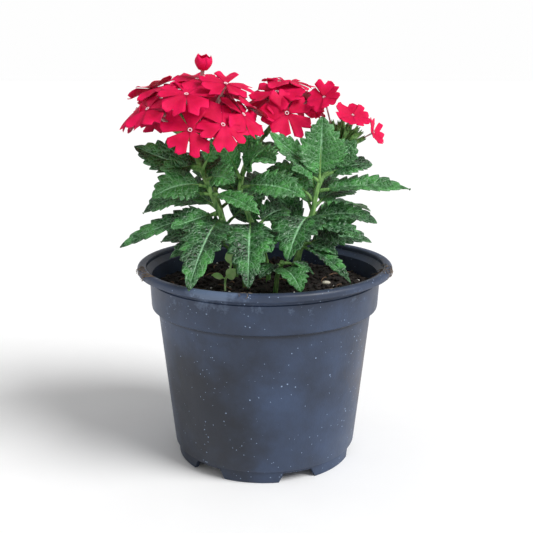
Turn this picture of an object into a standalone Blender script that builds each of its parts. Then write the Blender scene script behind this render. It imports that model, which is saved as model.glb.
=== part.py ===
"""A verbena in a 12 cm nursery pot: pot, potting soil, leafy stems, flower heads, seedling and seed.

The origin is on the pot's axis at the surface it stands on, +Z is up and the front of the plant
looks along -Y. Sizes and places below are millimetres and are turned into metres when a mesh is made.
"""
from math import cos, pi, radians, sin, sqrt

import bmesh
import bpy
from mathutils import Matrix, Vector

MM = 0.001
UP = Vector((0.0, 0.0, 1.0))

# Pot, turned about the vertical axis
POT_HEIGHT = 93.0
RIM_RADIUS = 60.0
RIM_INNER_RADIUS = 56.0
RIM_LIP_HEIGHT = 3.3
COLLAR_TOP_RADIUS = 54.5
COLLAR_LOW_RADIUS = 53.4
SHOULDER_HEIGHT = 73.0
BODY_TOP_RADIUS = 50.5
BODY_BASE_RADIUS = 43.5
FOOT_RADIUS = 41.8
FOOT_HEIGHT = 5.9
FOOT_WALL = 2.2
WALL = 1.2
POT_SEGMENTS = 32
NOTCH_COUNT = 6
NOTCH_FIRST = -68.5
NOTCH_DEGREES = 27.0
NOTCH_HEIGHT = 4.5
NOTCH_SLOPE_DEGREES = 4.0
NOTCH_STEPS = 4
CUT_MARGIN = 2.0
DRAIN_RADIUS = 4.0
DRAIN_CIRCLE = 28.0
DRAIN_DEPTH = 6.0
HUB_RADIUS = 0.5
SHARP_DEGREES = 35.0

# Soil in the pot
SOIL_LEVEL = 82.0
SOIL_RELIEF = 1.1
SOIL_RINGS = (0.97, 0.75, 0.50, 0.25)
CLEAR = 0.3

# Plant
STEM_SIDE = 2.5
STEM_FOOT = 70.0
STEM_TAPER = 0.25
LONGEST_STALK_SHARE = 0.35
STALK_SHARE = 0.62
STALK_LENGTH = 5.0
SEEDLING_SIDE = 1.0
SEEDLING_HOLE = 1.5
SEED_CLEAR = 0.8
BLADE_THICKNESS = 0.9
BLADE_FOLD = 0.26
TOOTH_PLACE = 0.78
TOOTH_CUT = 0.78
SMOOTH_ROWS = 4
HOLE_RADIUS = 2.6

# Florets and heads
FLORET_RADIUS = 12.4
FLORET_CUP = 0.15
LIFT = 2.2
PETAL_THICKNESS = 0.8
PETAL_OUTLINE = ((-36.0, 0.30), (-23.0, 0.98), (0.0, 0.80), (23.0, 0.98))
CORE_INNER = 0.62
CORE_OUTER = 0.80
CORE_POLAR = 72.0
FOOT_POLAR = 64.0
CALYX_POLAR = 55.0
CORE_SIDES = 8
CORE_ROWS = 3
KNOB_RADIUS = 3.0
OPENING_KNOB_RADIUS = 2.7
CALYX_SINK = 1.2
MIDDLE_RADIUS = 1.2
MIDDLE_CLEAR = 0.5
CALYX_REACH = 0.82
TOP_BUD_REACH = 38.0
TOP_BUD_RADIUS = 3.8
TOP_BUD_ANGLES = (-60.0, 14.0)
TOP_BUD_SINK = 0.95
BUD_SHARES = (0.0, 0.5, 0.75, 0.9, 1.0)
BUD_WIDTHS = (0.9, 1.0, 0.35)
BUD_SIDES = 6
AXIS_RISE = 0.45
FLORET_TURN = 47.0
BLOOM_TURN = 29.0
NEIGHBOUR_REACH = 1.7
PETALS = 5
TUBE_RADIUS = 1.1
TUBE_FOOT_RADIUS = 0.88
TUBE_SIDES = 3
CALYX_TIP_RADIUS = 1.3
CALYX_FOOT_RADIUS = 0.7


def material(name, colour, roughness):
    """Make a Principled BSDF material."""
    mat = bpy.data.materials.new(name)
    mat.use_nodes = True
    shader = mat.node_tree.nodes["Principled BSDF"]
    shader.inputs["Base Color"].default_value = (*colour, 1.0)
    shader.inputs["Roughness"].default_value = roughness
    return mat


def make_object(name, bm, mat):
    """Turn a bmesh in millimetres into a named object in metres."""
    bmesh.ops.scale(bm, vec=(MM, MM, MM), verts=bm.verts)
    bmesh.ops.recalc_face_normals(bm, faces=bm.faces)
    mesh = bpy.data.meshes.new(name)
    bm.to_mesh(mesh)
    bm.free()
    mesh.materials.append(mat)
    obj = bpy.data.objects.new(name, mesh)
    bpy.context.collection.objects.link(obj)
    return obj


def apply_modifiers(obj):
    """Replace an object's mesh by its evaluated mesh and drop the modifiers."""
    graph = bpy.context.evaluated_depsgraph_get()
    mesh = bpy.data.meshes.new_from_object(obj.evaluated_get(graph))
    obj.modifiers.clear()
    obj.data = mesh


def fuse(name, pieces, mat):
    """Join closed pieces into one body with one Boolean union on a collection."""
    body, rest = pieces[0], pieces[1:]
    group = bpy.data.collections.new(name + "_pieces")
    for piece in rest:
        group.objects.link(piece)
    union = body.modifiers.new("Union", "BOOLEAN")
    union.operation = "UNION"
    union.operand_type = "COLLECTION"
    union.collection = group
    apply_modifiers(body)
    for piece in rest:
        bpy.data.objects.remove(piece)
    bpy.data.collections.remove(group)
    body.name = name
    body.data.name = name
    body.data.materials.clear()
    body.data.materials.append(mat)
    keep_largest_body(body)
    return body


def keep_largest_body(obj):
    """Drop loose scraps that a union leaves, keeping the biggest connected body."""
    bm = bmesh.new()
    bm.from_mesh(obj.data)
    left = set(bm.verts)
    bodies = []
    while left:
        stack = [left.pop()]
        found = set(stack)
        while stack:
            for edge in stack.pop().link_edges:
                for vert in edge.verts:
                    if vert in left:
                        left.remove(vert)
                        found.add(vert)
                        stack.append(vert)
        bodies.append(found)
    bodies.sort(key=len, reverse=True)
    scrap = [vert for body in bodies[1:] for vert in body]
    bmesh.ops.delete(bm, geom=scrap, context="VERTS")
    bm.to_mesh(obj.data)
    bm.free()


def cut(obj, cutters):
    """Take cutters out of an object with one exact Boolean and remove them."""
    group = bpy.data.collections.new(obj.name + "_cutters")
    for cutter in cutters:
        group.objects.link(cutter)
    difference = obj.modifiers.new("Cut", "BOOLEAN")
    difference.operation = "DIFFERENCE"
    difference.operand_type = "COLLECTION"
    difference.collection = group
    apply_modifiers(obj)
    for cutter in cutters:
        bpy.data.objects.remove(cutter)
    bpy.data.collections.remove(group)


def shade_round(obj):
    """Shade round faces smooth and keep true edges sharp."""
    obj.data.shade_smooth()
    obj.data.set_sharp_from_angle(angle=radians(SHARP_DEGREES))


def turned(name, profile, mat):
    """Turn a closed (radius, height) outline about the vertical axis."""
    bm = bmesh.new()
    rings = []
    for step in range(POT_SEGMENTS):
        angle = 2.0 * pi * step / POT_SEGMENTS
        ring = [bm.verts.new((r * cos(angle), r * sin(angle), z)) for r, z in profile]
        rings.append(ring)
    count = len(profile)
    for step in range(POT_SEGMENTS):
        near, far = rings[step], rings[(step + 1) % POT_SEGMENTS]
        for i in range(count):
            j = (i + 1) % count
            bm.faces.new((near[i], far[i], far[j], near[j]))
    return make_object(name, bm, mat)


def body_radius(height):
    """Outer radius of the tapered body at a height."""
    share = (height - FOOT_HEIGHT) / (SHOULDER_HEIGHT - FOOT_HEIGHT)
    return BODY_BASE_RADIUS + share * (BODY_TOP_RADIUS - BODY_BASE_RADIUS)


def build_pot(mat):
    """The thin moulded pot with rolled rim, collar, shoulder, foot ring, notches and drains."""
    floor = FOOT_HEIGHT + WALL
    lip = POT_HEIGHT - RIM_LIP_HEIGHT
    outer = [
        (FOOT_RADIUS, 0.0), (FOOT_RADIUS, FOOT_HEIGHT), (BODY_BASE_RADIUS, FOOT_HEIGHT + 0.6),
        (body_radius(SHOULDER_HEIGHT - 1.0), SHOULDER_HEIGHT - 1.0),
        (COLLAR_LOW_RADIUS - 0.3, SHOULDER_HEIGHT), (COLLAR_LOW_RADIUS, SHOULDER_HEIGHT + 1.0),
        (COLLAR_TOP_RADIUS, lip - 1.0), (COLLAR_TOP_RADIUS + 1.2, lip + 0.6),
        (RIM_RADIUS - 1.4, lip + 0.6), (RIM_RADIUS - 0.9, lip), (RIM_RADIUS - 0.1, lip + 0.3),
        (RIM_RADIUS, POT_HEIGHT - 1.2), (RIM_RADIUS - 1.0, POT_HEIGHT - 0.15),
        (RIM_RADIUS - 2.0, POT_HEIGHT),
    ]
    inner = [
        (RIM_INNER_RADIUS + 0.8, POT_HEIGHT - 0.5), (RIM_INNER_RADIUS, POT_HEIGHT - 2.2),
        (COLLAR_TOP_RADIUS - WALL, lip - 1.5), (COLLAR_LOW_RADIUS - WALL, SHOULDER_HEIGHT + 1.8),
        (body_radius(SHOULDER_HEIGHT) - WALL, SHOULDER_HEIGHT + 0.3),
        (body_radius(floor) - WALL, floor), (FOOT_RADIUS - FOOT_WALL - 2.0, floor),
    ]
    # The floor is a disc closed on the axis, so the outline runs to a small radius there.
    under = [(HUB_RADIUS, floor), (HUB_RADIUS, FOOT_HEIGHT),
             (FOOT_RADIUS - FOOT_WALL, FOOT_HEIGHT - 0.2), (FOOT_RADIUS - FOOT_WALL, 0.0)]
    pot = turned("pot", outer + inner + under, mat)
    close_hub(pot)
    cutters = [notch_cutter(i) for i in range(NOTCH_COUNT)]
    cutters += [drain_cutter(i) for i in range(NOTCH_COUNT)]
    cut(pot, cutters)
    shade_round(pot)


def close_hub(obj):
    """Close the floor's small centre: drop the hub's wall and cap the two rings."""
    bm = bmesh.new()
    bm.from_mesh(obj.data)
    limit = HUB_RADIUS * MM * 1.5
    wall = [f for f in bm.faces if all(v.co.xy.length < limit for v in f.verts)]
    bmesh.ops.delete(bm, geom=wall, context="FACES_ONLY")
    rims = [e for e in bm.edges if e.is_boundary]
    bmesh.ops.holes_fill(bm, edges=rims, sides=0)
    bmesh.ops.recalc_face_normals(bm, faces=bm.faces)
    bm.to_mesh(obj.data)
    bm.free()


def notch_cutter(index):
    """A wedge with sloped ends that cuts one drainage notch into the foot ring."""
    middle = radians(NOTCH_FIRST + index * 360.0 / NOTCH_COUNT)
    half = radians(NOTCH_DEGREES / 2.0)
    slope = radians(NOTCH_SLOPE_DEGREES)
    near, far = FOOT_RADIUS - FOOT_WALL - CUT_MARGIN, FOOT_RADIUS + CUT_MARGIN
    bm = bmesh.new()
    rows = []
    for k in range(NOTCH_STEPS + 1):
        share = k / NOTCH_STEPS * 2.0 - 1.0
        row = []
        for radius in (near, far):
            for height, spread in ((-CUT_MARGIN, half), (NOTCH_HEIGHT, half - slope)):
                angle = middle + share * spread
                row.append(bm.verts.new((radius * cos(angle), radius * sin(angle), height)))
        rows.append(row)
    for a, b in zip(rows, rows[1:]):
        for i, j in ((0, 1), (1, 3), (3, 2), (2, 0)):
            bm.faces.new((a[i], a[j], b[j], b[i]))
    for row in (rows[0], rows[-1]):
        bm.faces.new((row[0], row[1], row[3], row[2]))
    return make_object(f"notch_{index}", bm, bpy.data.materials[0])


def drain_cutter(index):
    """A round drainage hole through the floor, between two notches."""
    angle = radians(NOTCH_FIRST + (index + 0.5) * 360.0 / NOTCH_COUNT)
    place = Matrix.Translation((DRAIN_CIRCLE * cos(angle), DRAIN_CIRCLE * sin(angle), FOOT_HEIGHT))
    bm = bmesh.new()
    bmesh.ops.create_cone(bm, cap_ends=True, segments=8, radius1=DRAIN_RADIUS, radius2=DRAIN_RADIUS,
                          depth=DRAIN_DEPTH, matrix=place)
    return make_object(f"drain_{index}", bm, bpy.data.materials[0])


def soil_height(x, y):
    """Height of the loose soil's top: low uneven heaps made from three crossing waves."""
    waves = sin(x * 0.16 + 1.0) * cos(y * 0.14) + 0.6 * sin(x * 0.31 - y * 0.27) + 0.4 * cos(y * 0.42 + 2.0)
    return SOIL_LEVEL + SOIL_RELIEF * waves


def build_soil(mat, holes):
    """The root ball, which fills the pot with a small clearance and has plain holes for stems."""
    floor = FOOT_HEIGHT + WALL
    sides = [
        (body_radius(floor) - WALL - CLEAR, floor + CLEAR),
        (body_radius(SHOULDER_HEIGHT) - WALL - CLEAR, SHOULDER_HEIGHT + 0.3 - CLEAR),
        (body_radius(SHOULDER_HEIGHT) - WALL - CLEAR, SHOULDER_HEIGHT + 0.3 + CLEAR),
        (COLLAR_LOW_RADIUS - WALL - 2.0 * CLEAR, SHOULDER_HEIGHT + 1.8 + CLEAR),
    ]
    top_radius = COLLAR_LOW_RADIUS - WALL - CLEAR
    bm = bmesh.new()
    rings = []
    for radius, height in sides:
        rings.append(ring_of(bm, radius, lambda x, y, h=height: h))
    for share in SOIL_RINGS:
        rings.append(ring_of(bm, top_radius * share, soil_height))
    for low, high in zip(rings, rings[1:]):
        for i in range(POT_SEGMENTS):
            j = (i + 1) % POT_SEGMENTS
            bm.faces.new((low[i], low[j], high[j]))
            bm.faces.new((low[i], high[j], high[i]))
    bm.faces.new(rings[0][::-1])
    middle = bm.verts.new((0.0, 0.0, soil_height(0.0, 0.0)))
    last = rings[-1]
    for i in range(POT_SEGMENTS):
        bm.faces.new((last[i], last[(i + 1) % POT_SEGMENTS], middle))
    soil = make_object("soil", bm, mat)
    cut(soil, [hole_cutter(i, x, y, r) for i, (x, y, r) in enumerate(holes)])
    shade_round(soil)


def ring_of(bm, radius, height_at):
    """One ring of vertices whose height is given by a function of x and y."""
    ring = []
    for step in range(POT_SEGMENTS):
        angle = 2.0 * pi * step / POT_SEGMENTS
        x, y = radius * cos(angle), radius * sin(angle)
        ring.append(bm.verts.new((x, y, height_at(x, y))))
    return ring


def hole_cutter(index, x, y, radius):
    """A six-sided upright hole in the soil for one stem."""
    low, high = STEM_FOOT - CLEAR, POT_HEIGHT
    place = Matrix.Translation((x, y, (low + high) / 2.0))
    bm = bmesh.new()
    bmesh.ops.create_cone(bm, cap_ends=True, segments=6, radius1=radius, radius2=radius,
                          depth=high - low, matrix=place)
    return make_object(f"hole_{index}", bm, bpy.data.materials[0])


def along(points, share):
    """Point on a smooth curve through hand-placed points, share from 0 to 1."""
    spans = len(points) - 1
    place = min(share * spans, spans - 1e-9)
    i = int(place)
    t = place - i
    p0 = points[max(i - 1, 0)]
    p1, p2 = points[i], points[i + 1]
    p3 = points[min(i + 2, spans)]
    return 0.5 * ((2.0 * p1) + (p2 - p0) * t + (2.0 * p0 - 5.0 * p1 + 4.0 * p2 - p3) * t * t
                  + (3.0 * p1 - p0 - 3.0 * p2 + p3) * t ** 3)


def frames_on(points, facing):
    """Tangent, side and normal at each point, the normal kept near the facing direction."""
    frames = []
    for i, point in enumerate(points):
        ahead = points[min(i + 1, len(points) - 1)]
        behind = points[max(i - 1, 0)]
        tangent = (ahead - behind).normalized()
        side = tangent.cross(facing).normalized()
        frames.append((point, tangent, side, side.cross(tangent).normalized()))
    return frames


def tube(name, points, widths, facing, mat, sides=4, turn=0.25):
    """A closed tube of few sides along points, with a half width at each point."""
    bm = bmesh.new()
    rings = []
    for (point, _, side, normal), half in zip(frames_on(points, facing), widths):
        ring = []
        for k in range(sides):
            angle = 2.0 * pi * (k / sides + turn / 2.0)
            ring.append(bm.verts.new(point + side * (half * cos(angle)) + normal * (half * sin(angle))))
        rings.append(ring)
    for near, far in zip(rings, rings[1:]):
        for k in range(sides):
            m = (k + 1) % sides
            bm.faces.new((near[k], near[m], far[m]))
            bm.faces.new((near[k], far[m], far[k]))
    bm.faces.new(rings[0])
    bm.faces.new(rings[-1][::-1])
    return make_object(name, bm, mat)


def leaf_width(share):
    """Half width of a verbena leaf along its blade, as a share of the widest half width."""
    return sin(pi * share ** 0.72) ** 0.85 if 0.0 < share < 1.0 else 0.0


def leaf_line(foot, tip, arch):
    """Centre line from the stem to the tip, bowed upwards by arch millimetres."""
    middle = (foot + tip) / 2.0 + UP * (2.0 * arch)
    return lambda t: foot * (1 - t) ** 2 + middle * (2 * t * (1 - t)) + tip * t * t


def build_leaf(name, foot, leaf, mat, side):
    """One toothed leaf as a closed sheet: a narrow stalk from the stem's middle, then the blade."""
    tip = Vector(leaf["tip"])
    facing = Vector(leaf.get("face", (0, 0, 1))).normalized()
    line = leaf_line(foot, tip, leaf["arch"])
    start = min(LONGEST_STALK_SHARE, leaf.get("stalk", STALK_LENGTH) / (tip - foot).length)
    stalk = side * STALK_SHARE / 2.0
    half = leaf["width"] / 2.0
    rows = [(0.0, stalk)]
    for share, tooth in leaf_rows(leaf.get("teeth", 0)):
        rows.append((start + (1.0 - start) * share, max(half * leaf_width(share) * tooth, stalk)))
    frames = frames_on([line(t) for t, _ in rows] + [tip], facing)
    bm = bmesh.new()
    faces = []
    for offset in (BLADE_THICKNESS / 2.0, -BLADE_THICKNESS / 2.0):
        spine, left, right = [], [], []
        for (point, _, across, normal), (_, reach) in zip(frames, rows):
            lift = normal * (offset + (reach - stalk) * BLADE_FOLD)
            spine.append(bm.verts.new(point + normal * offset))
            left.append(bm.verts.new(point - across * reach + lift))
            right.append(bm.verts.new(point + across * reach + lift))
        spine.append(bm.verts.new(frames[-1][0] + frames[-1][3] * offset))
        faces.append((spine, left, right))
    for spine, left, right in faces:
        for edge in (left, right):
            for i in range(len(edge) - 1):
                bm.faces.new((spine[i], spine[i + 1], edge[i]))
                bm.faces.new((spine[i + 1], edge[i + 1], edge[i]))
            bm.faces.new((spine[-2], spine[-1], edge[-1]))
    top, low = [left[::-1] + [spine[0]] + right + [spine[-1]] for spine, left, right in faces]
    for i in range(len(top)):
        j = (i + 1) % len(top)
        bm.faces.new((top[i], top[j], low[j]))
        bm.faces.new((top[i], low[j], low[i]))
    return make_object(name, bm, mat)


def leaf_rows(teeth):
    """Places along a blade and the share of the full width there: teeth and the cuts between them."""
    if teeth:
        marks = ((0.0, TOOTH_CUT), (TOOTH_PLACE, 1.0))
        return [((i + s) / teeth, w) for i in range(teeth) for s, w in marks]
    return [(i / SMOOTH_ROWS, 1.0) for i in range(SMOOTH_ROWS)]


def spoke(name, start, end, foot_radius, tip_radius, mat, sides=4):
    """A straight tapered rod between two points."""
    axis = (end - start).normalized()
    facing = axis.orthogonal()
    return tube(name, [start, end], [foot_radius, tip_radius], facing, mat, sides)


def direction(azimuth, polar):
    """Unit vector at an azimuth from +X and a polar angle from straight up, both in degrees."""
    a, p = radians(azimuth), radians(polar)
    return Vector((sin(p) * cos(a), sin(p) * sin(a), cos(p)))


def build_floret(name, eye, axis, turn, mat, foot, radius=FLORET_RADIUS, cup=FLORET_CUP):
    """Five notched petals in one sheet round the eye, and the floret's tube from its foot up."""
    first = axis.orthogonal().normalized()
    second = axis.cross(first).normalized()
    bm = bmesh.new()
    sheets = []
    for offset in (PETAL_THICKNESS / 2.0, -PETAL_THICKNESS / 2.0):
        outline = []
        for petal in range(PETALS):
            for angle, share in PETAL_OUTLINE:
                a = radians(turn + petal * 360.0 / PETALS + angle)
                flat = first * (cos(a) * share * radius) + second * (sin(a) * share * radius)
                sink = axis * (offset - cup * radius * share * share)
                outline.append(bm.verts.new(eye + flat + sink))
        sheets.append((bm.verts.new(eye + axis * offset), outline))
    for centre, outline in sheets:
        for i in range(len(outline)):
            bm.faces.new((centre, outline[i], outline[(i + 1) % len(outline)]))
    top, low = sheets[0][1], sheets[1][1]
    for i in range(len(top)):
        j = (i + 1) % len(top)
        bm.faces.new((top[i], top[j], low[j]))
        bm.faces.new((top[i], low[j], low[i]))
    sheet = make_object(name + "_petals", bm, mat)
    neck = spoke(name + "_tube", foot, eye, TUBE_FOOT_RADIUS, TUBE_RADIUS, mat, TUBE_SIDES)
    return [sheet, neck]


def build_bud(name, foot, tip, radius, mat):
    """A closed red bud on its tube: a spindle that is widest near its top."""
    points = [foot.lerp(tip, share) for share in BUD_SHARES]
    widths = [TUBE_FOOT_RADIUS, TUBE_RADIUS] + [radius * share for share in BUD_WIDTHS]
    return tube(name, points, widths, (tip - foot).orthogonal(), mat, BUD_SIDES)


def core_shell(name, centre, inner, outer, axis, mat):
    """A small domed shell in a dense head, which the florets stand out of."""
    side = axis.orthogonal().normalized()
    other = axis.cross(side).normalized()
    bm = bmesh.new()
    caps = []
    for radius in (outer, inner):
        pole = bm.verts.new(centre + axis * radius)
        rings = []
        for row in range(1, CORE_ROWS + 1):
            p = radians(CORE_POLAR * row / CORE_ROWS)
            ring = []
            for k in range(CORE_SIDES):
                a = 2.0 * pi * k / CORE_SIDES
                across = (side * cos(a) + other * sin(a)) * (radius * sin(p))
                ring.append(bm.verts.new(centre + axis * (radius * cos(p)) + across))
            rings.append(ring)
        for k in range(CORE_SIDES):
            m = (k + 1) % CORE_SIDES
            bm.faces.new((pole, rings[0][k], rings[0][m]))
            for near, far in zip(rings, rings[1:]):
                bm.faces.new((near[k], far[k], far[m]))
                bm.faces.new((near[k], far[m], near[m]))
        caps.append(rings[-1])
    for k in range(CORE_SIDES):
        m = (k + 1) % CORE_SIDES
        bm.faces.new((caps[0][k], caps[1][k], caps[1][m]))
        bm.faces.new((caps[0][k], caps[1][m], caps[0][m]))
    return make_object(name, bm, mat)


# Stems: a path of hand-placed points from the soil up, then leaves given by the height at which
# they leave the stem, their tip, their width and how far they arch.
STEMS = {
    "stem_left": {
        "path": ((-9, -6, 70), (-9, -6, 80), (-10, -7, 92), (-14, -10, 104), (-20, -13, 118),
                 (-26, -11, 132), (-31, -4, 143)),
        "leaves": (
            dict(rise=116, tip=(-31, -57, 94), width=22, arch=5, teeth=5),
            dict(rise=127, tip=(-2, -33, 121), width=13, arch=2, teeth=4, face=(0, -0.4, 1)),
            dict(rise=118, tip=(-64.6, -20, 104), width=13, arch=3, teeth=5, face=(0, -0.6, 1)),
            dict(rise=119, tip=(-41, -26, 114), width=15, arch=0, teeth=4, face=(0, -0.7, 1)),
            dict(rise=130, tip=(-49, -24, 127), width=20, arch=3, teeth=4, face=(0, -1, 0.9)),
            dict(rise=127, tip=(-55, -12, 118), width=18, arch=3, teeth=3, face=(0, -0.5, 1)),
            dict(rise=137, tip=(-60, 2, 147), width=19, arch=-1, teeth=4, face=(0, -0.8, 0.7)),
            dict(rise=139, tip=(-46, -18, 139), width=12, arch=0, teeth=3, face=(0, -1, 0.8)),
            dict(rise=137, tip=(-20, -13, 153), width=9, arch=0, teeth=3, face=(0, -1, 0.2)),
            dict(rise=120, tip=(-48, 16, 126), width=20, arch=3, teeth=3, face=(0, -0.5, 1)),
            dict(rise=132, tip=(-30, 24, 142), width=18, arch=3, teeth=3, face=(0, -0.4, 1)),
            dict(rise=104, tip=(-42, -24, 100), width=17, arch=3, teeth=3, face=(0, -0.5, 1)),
            dict(rise=133, tip=(-13, -27, 134), width=14, arch=2, teeth=4, face=(0, -1, 0.6)),
        ),
    },
    "stem_middle": {
        "path": ((2, -1, 70), (2, -1, 80), (1, -2, 92), (-2, -6, 104), (-7, -10, 116),
                 (-11, -8, 128), (-8, 3, 140), (0, 13, 151)),
        "leaves": (
            dict(rise=114, tip=(-7, -43, 91), width=22, arch=5, teeth=5),
            dict(rise=108, tip=(3, -30, 104), width=13, arch=3, teeth=3, face=(0, -0.4, 1)),
            dict(rise=129, tip=(18, -24, 127), width=19, arch=3, teeth=5, face=(0, -0.8, 1)),
            dict(rise=132, tip=(-22, -21, 154), width=12, arch=2, teeth=4, face=(0.4, -1, 0.4)),
            dict(rise=137, tip=(5, -20, 142), width=17, arch=3, teeth=4, face=(0, -0.9, 1)),
            dict(rise=140, tip=(-8, -8, 158), width=13, arch=0, teeth=3, face=(0.3, -1, 0.1)),
            dict(rise=120, tip=(5, 28, 128), width=20, arch=4, teeth=3, face=(0, -0.7, 1)),
            dict(rise=124, tip=(-29, 14, 134), width=16, arch=3, teeth=3, face=(0, -0.9, 0.8)),
            dict(rise=136, tip=(8, 22, 146), width=15, arch=2, teeth=3, face=(0, -0.6, 1)),
            dict(rise=110, tip=(12, 8, 116), width=15, arch=3, teeth=3, face=(0, -0.8, 1)),
            dict(rise=134, tip=(0, -26, 149), width=13, arch=2, teeth=4, face=(0, -1, 0.6)),
        ),
    },
    "stem_right": {
        "path": ((12, -2, 70), (12, -2, 80), (14, -3, 92), (18, -4, 104), (22, -5, 117),
                 (25, -3, 130), (34, 6, 144)),
        "leaves": (
            dict(rise=115, tip=(10, -34, 101), width=25, arch=5, teeth=5),
            dict(rise=130, tip=(26, -6, 161), width=24, arch=0, teeth=5, face=(0.1, -1, 0.2)),
            dict(rise=134, tip=(2, -6, 154), width=14, arch=-1, teeth=4, face=(0.6, -1, 0.6)),
            dict(rise=131, tip=(12, -12, 138), width=10, arch=1, teeth=3, face=(0, -0.8, 1)),
            dict(rise=127, tip=(66.6, -6, 128), width=16, arch=2, teeth=5, face=(0, -0.4, 1)),
            dict(rise=133, tip=(50, 4, 138), width=15, arch=2, teeth=3, face=(0, -0.7, 1)),
            dict(rise=135, tip=(42, 0, 150), width=15, arch=0, teeth=3, face=(0.5, -1, 0.2)),
            dict(rise=113, tip=(52, -4, 112), width=15, arch=4, teeth=3, face=(0, -0.5, 1)),
            dict(rise=113, tip=(42, -16, 109), width=11, arch=1, teeth=3, face=(0, -0.6, 1)),
            dict(rise=101, tip=(38, -31, 90), width=11, arch=3, teeth=5),
            dict(rise=103, tip=(33, -16, 100), width=10, arch=1, teeth=3, face=(0, -0.5, 1)),
            dict(rise=119, tip=(44, 18, 124), width=18, arch=4, teeth=3, face=(0, -0.6, 1)),
            dict(rise=122, tip=(1, 6, 136), width=17, arch=3, teeth=3, face=(0, -1, 0.8)),
        ),
    },
    "low_shoot": {
        "path": ((5, -12, 70), (5, -12, 80), (6, -14, 90), (8, -18, 97)),
        "leaves": (
            dict(rise=93, tip=(16, -37, 88), width=16, arch=3, teeth=4),
            dict(rise=96, tip=(22, -22, 92), width=9, arch=2, teeth=3),
            dict(rise=95, tip=(-2, -30, 92), width=11, arch=2, teeth=3),
        ),
    },
    "stem_back_left": {
        "path": ((-14, 14, 70), (-14, 14, 80), (-15, 15, 92), (-20, 22, 108), (-25, 30, 124)),
        "leaves": (
            dict(rise=98, tip=(-50, 10, 100), width=20, arch=4, teeth=3, face=(0, -0.5, 1)),
            dict(rise=98, tip=(-6, 48, 98), width=17, arch=4, teeth=3),
            dict(rise=114, tip=(-54, 34, 114), width=19, arch=4, teeth=3, face=(0, -0.5, 1)),
            dict(rise=114, tip=(0, 40, 116), width=17, arch=4, teeth=3),
            dict(rise=122, tip=(-40, 48, 136), width=14, arch=2, teeth=3),
            dict(rise=122, tip=(-14, 44, 138), width=14, arch=2, teeth=3),
            dict(rise=106, tip=(-1, 22, 120), width=22, arch=2, teeth=3, face=(0, -1, 0.35)),
            dict(rise=94, tip=(-40, 6, 110), width=20, arch=2, teeth=3, face=(0, -1, 0.5)),
        ),
    },
    "stem_back_right": {
        "path": ((16, 16, 70), (16, 16, 80), (17, 17, 92), (22, 25, 107), (26, 32, 120)),
        "leaves": (
            dict(rise=96, tip=(52, 14, 99), width=20, arch=4, teeth=3, face=(0, -0.5, 1)),
            dict(rise=96, tip=(8, 52, 94), width=16, arch=4, teeth=3),
            dict(rise=110, tip=(54, 40, 110), width=18, arch=4, teeth=3),
            dict(rise=112, tip=(16, 54, 122), width=15, arch=3, teeth=3),
            dict(rise=118, tip=(40, 44, 132), width=13, arch=2, teeth=3),
            dict(rise=118, tip=(22, 36, 140), width=14, arch=0, teeth=3, face=(0, -1, 0.3)),
            dict(rise=98, tip=(2, 12, 112), width=20, arch=2, teeth=3, face=(0, -1, 0.35)),
            dict(rise=104, tip=(0, 14, 126), width=16, arch=2, teeth=3, face=(0, -1, 0.3)),
            dict(rise=102, tip=(44, 6, 112), width=20, arch=2, teeth=3, face=(0, -1, 0.4)),
        ),
    },
}

# Domed heads: centre, radius at the florets' eyes, lean, and each floret's (azimuth, polar angle).
HEADS = {
    "left": {
        "stem": "stem_left", "centre": (-31, -2, 150), "radius": 30.0, "lean": (-0.1, -0.1, 1),
        "florets": ((-91, 76), (-96, 45), (-131, 62), (-77, 13), (-44, 38), (-160, 32), (-30, 64),
                    (-60, 72), (-162, 62), (56, 46), (104, 44), (152, 46), (6, 62), (54, 68),
                    (90, 70), (130, 68), (168, 64)),
    },
    "middle": {
        "stem": "stem_middle", "centre": (7.2, 17, 159), "radius": 17.0, "lean": (0.2, 0, 1),
        "florets": ((-100, 36), (20, 16), (-80, 80), (14, 58), (64, 66), (114, 56)),
    },
}

# The opening head: where its calyces start, and each bloom's eye, axis, petal radius and cup.
OPENING_BASE = (34, 6, 144)
OPENING_CALYX = 13.5
BLOOMS = (
    dict(eye=(27, 1, 169), axis=(-0.2, -0.7, 0.75), radius=8.0, cup=-0.15),
    dict(eye=(24.2, 6.5, 162), axis=(-0.3, -0.7, 0.6), radius=4.2, cup=-0.3),
    dict(eye=(40, 0, 161), axis=(0.2, -0.6, 0.8), radius=8.0, cup=-0.1),
    dict(eye=(50, 3, 153), axis=(0.8, -0.4, 0.5), radius=6.5, cup=-0.25),
)
SPARE_CALYCES = ((150, 22), (60, 30), (100, 50), (20, 45), (-20, 62), (0, 25), (-60, 38), (45, 62),
                 (-42, 52), (75, 12), (135, 45))

SEEDLING = {
    "path": ((-18, -14, 70), (-18, -14, 80), (-18, -14, 87), (-16, -15, 92), (-15, -16, 96)),
    "leaves": (
        dict(rise=94, tip=(-15, -17, 103), width=5.4, arch=0, stalk=1.5, face=(0, -1, 0.2)),
        dict(rise=88, tip=(-13, -20, 94), width=5.4, arch=0, stalk=1.5, face=(0, -1, 0.4)),
        dict(rise=88, tip=(-24, -17, 90.5), width=3.4, arch=0.4, stalk=1.5, face=(0, -1, 1)),
    ),
}
SEED_PLACE = (29.0, -2.0)
SEED_SIZE = (2.1, 1.1, 1.0)


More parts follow.
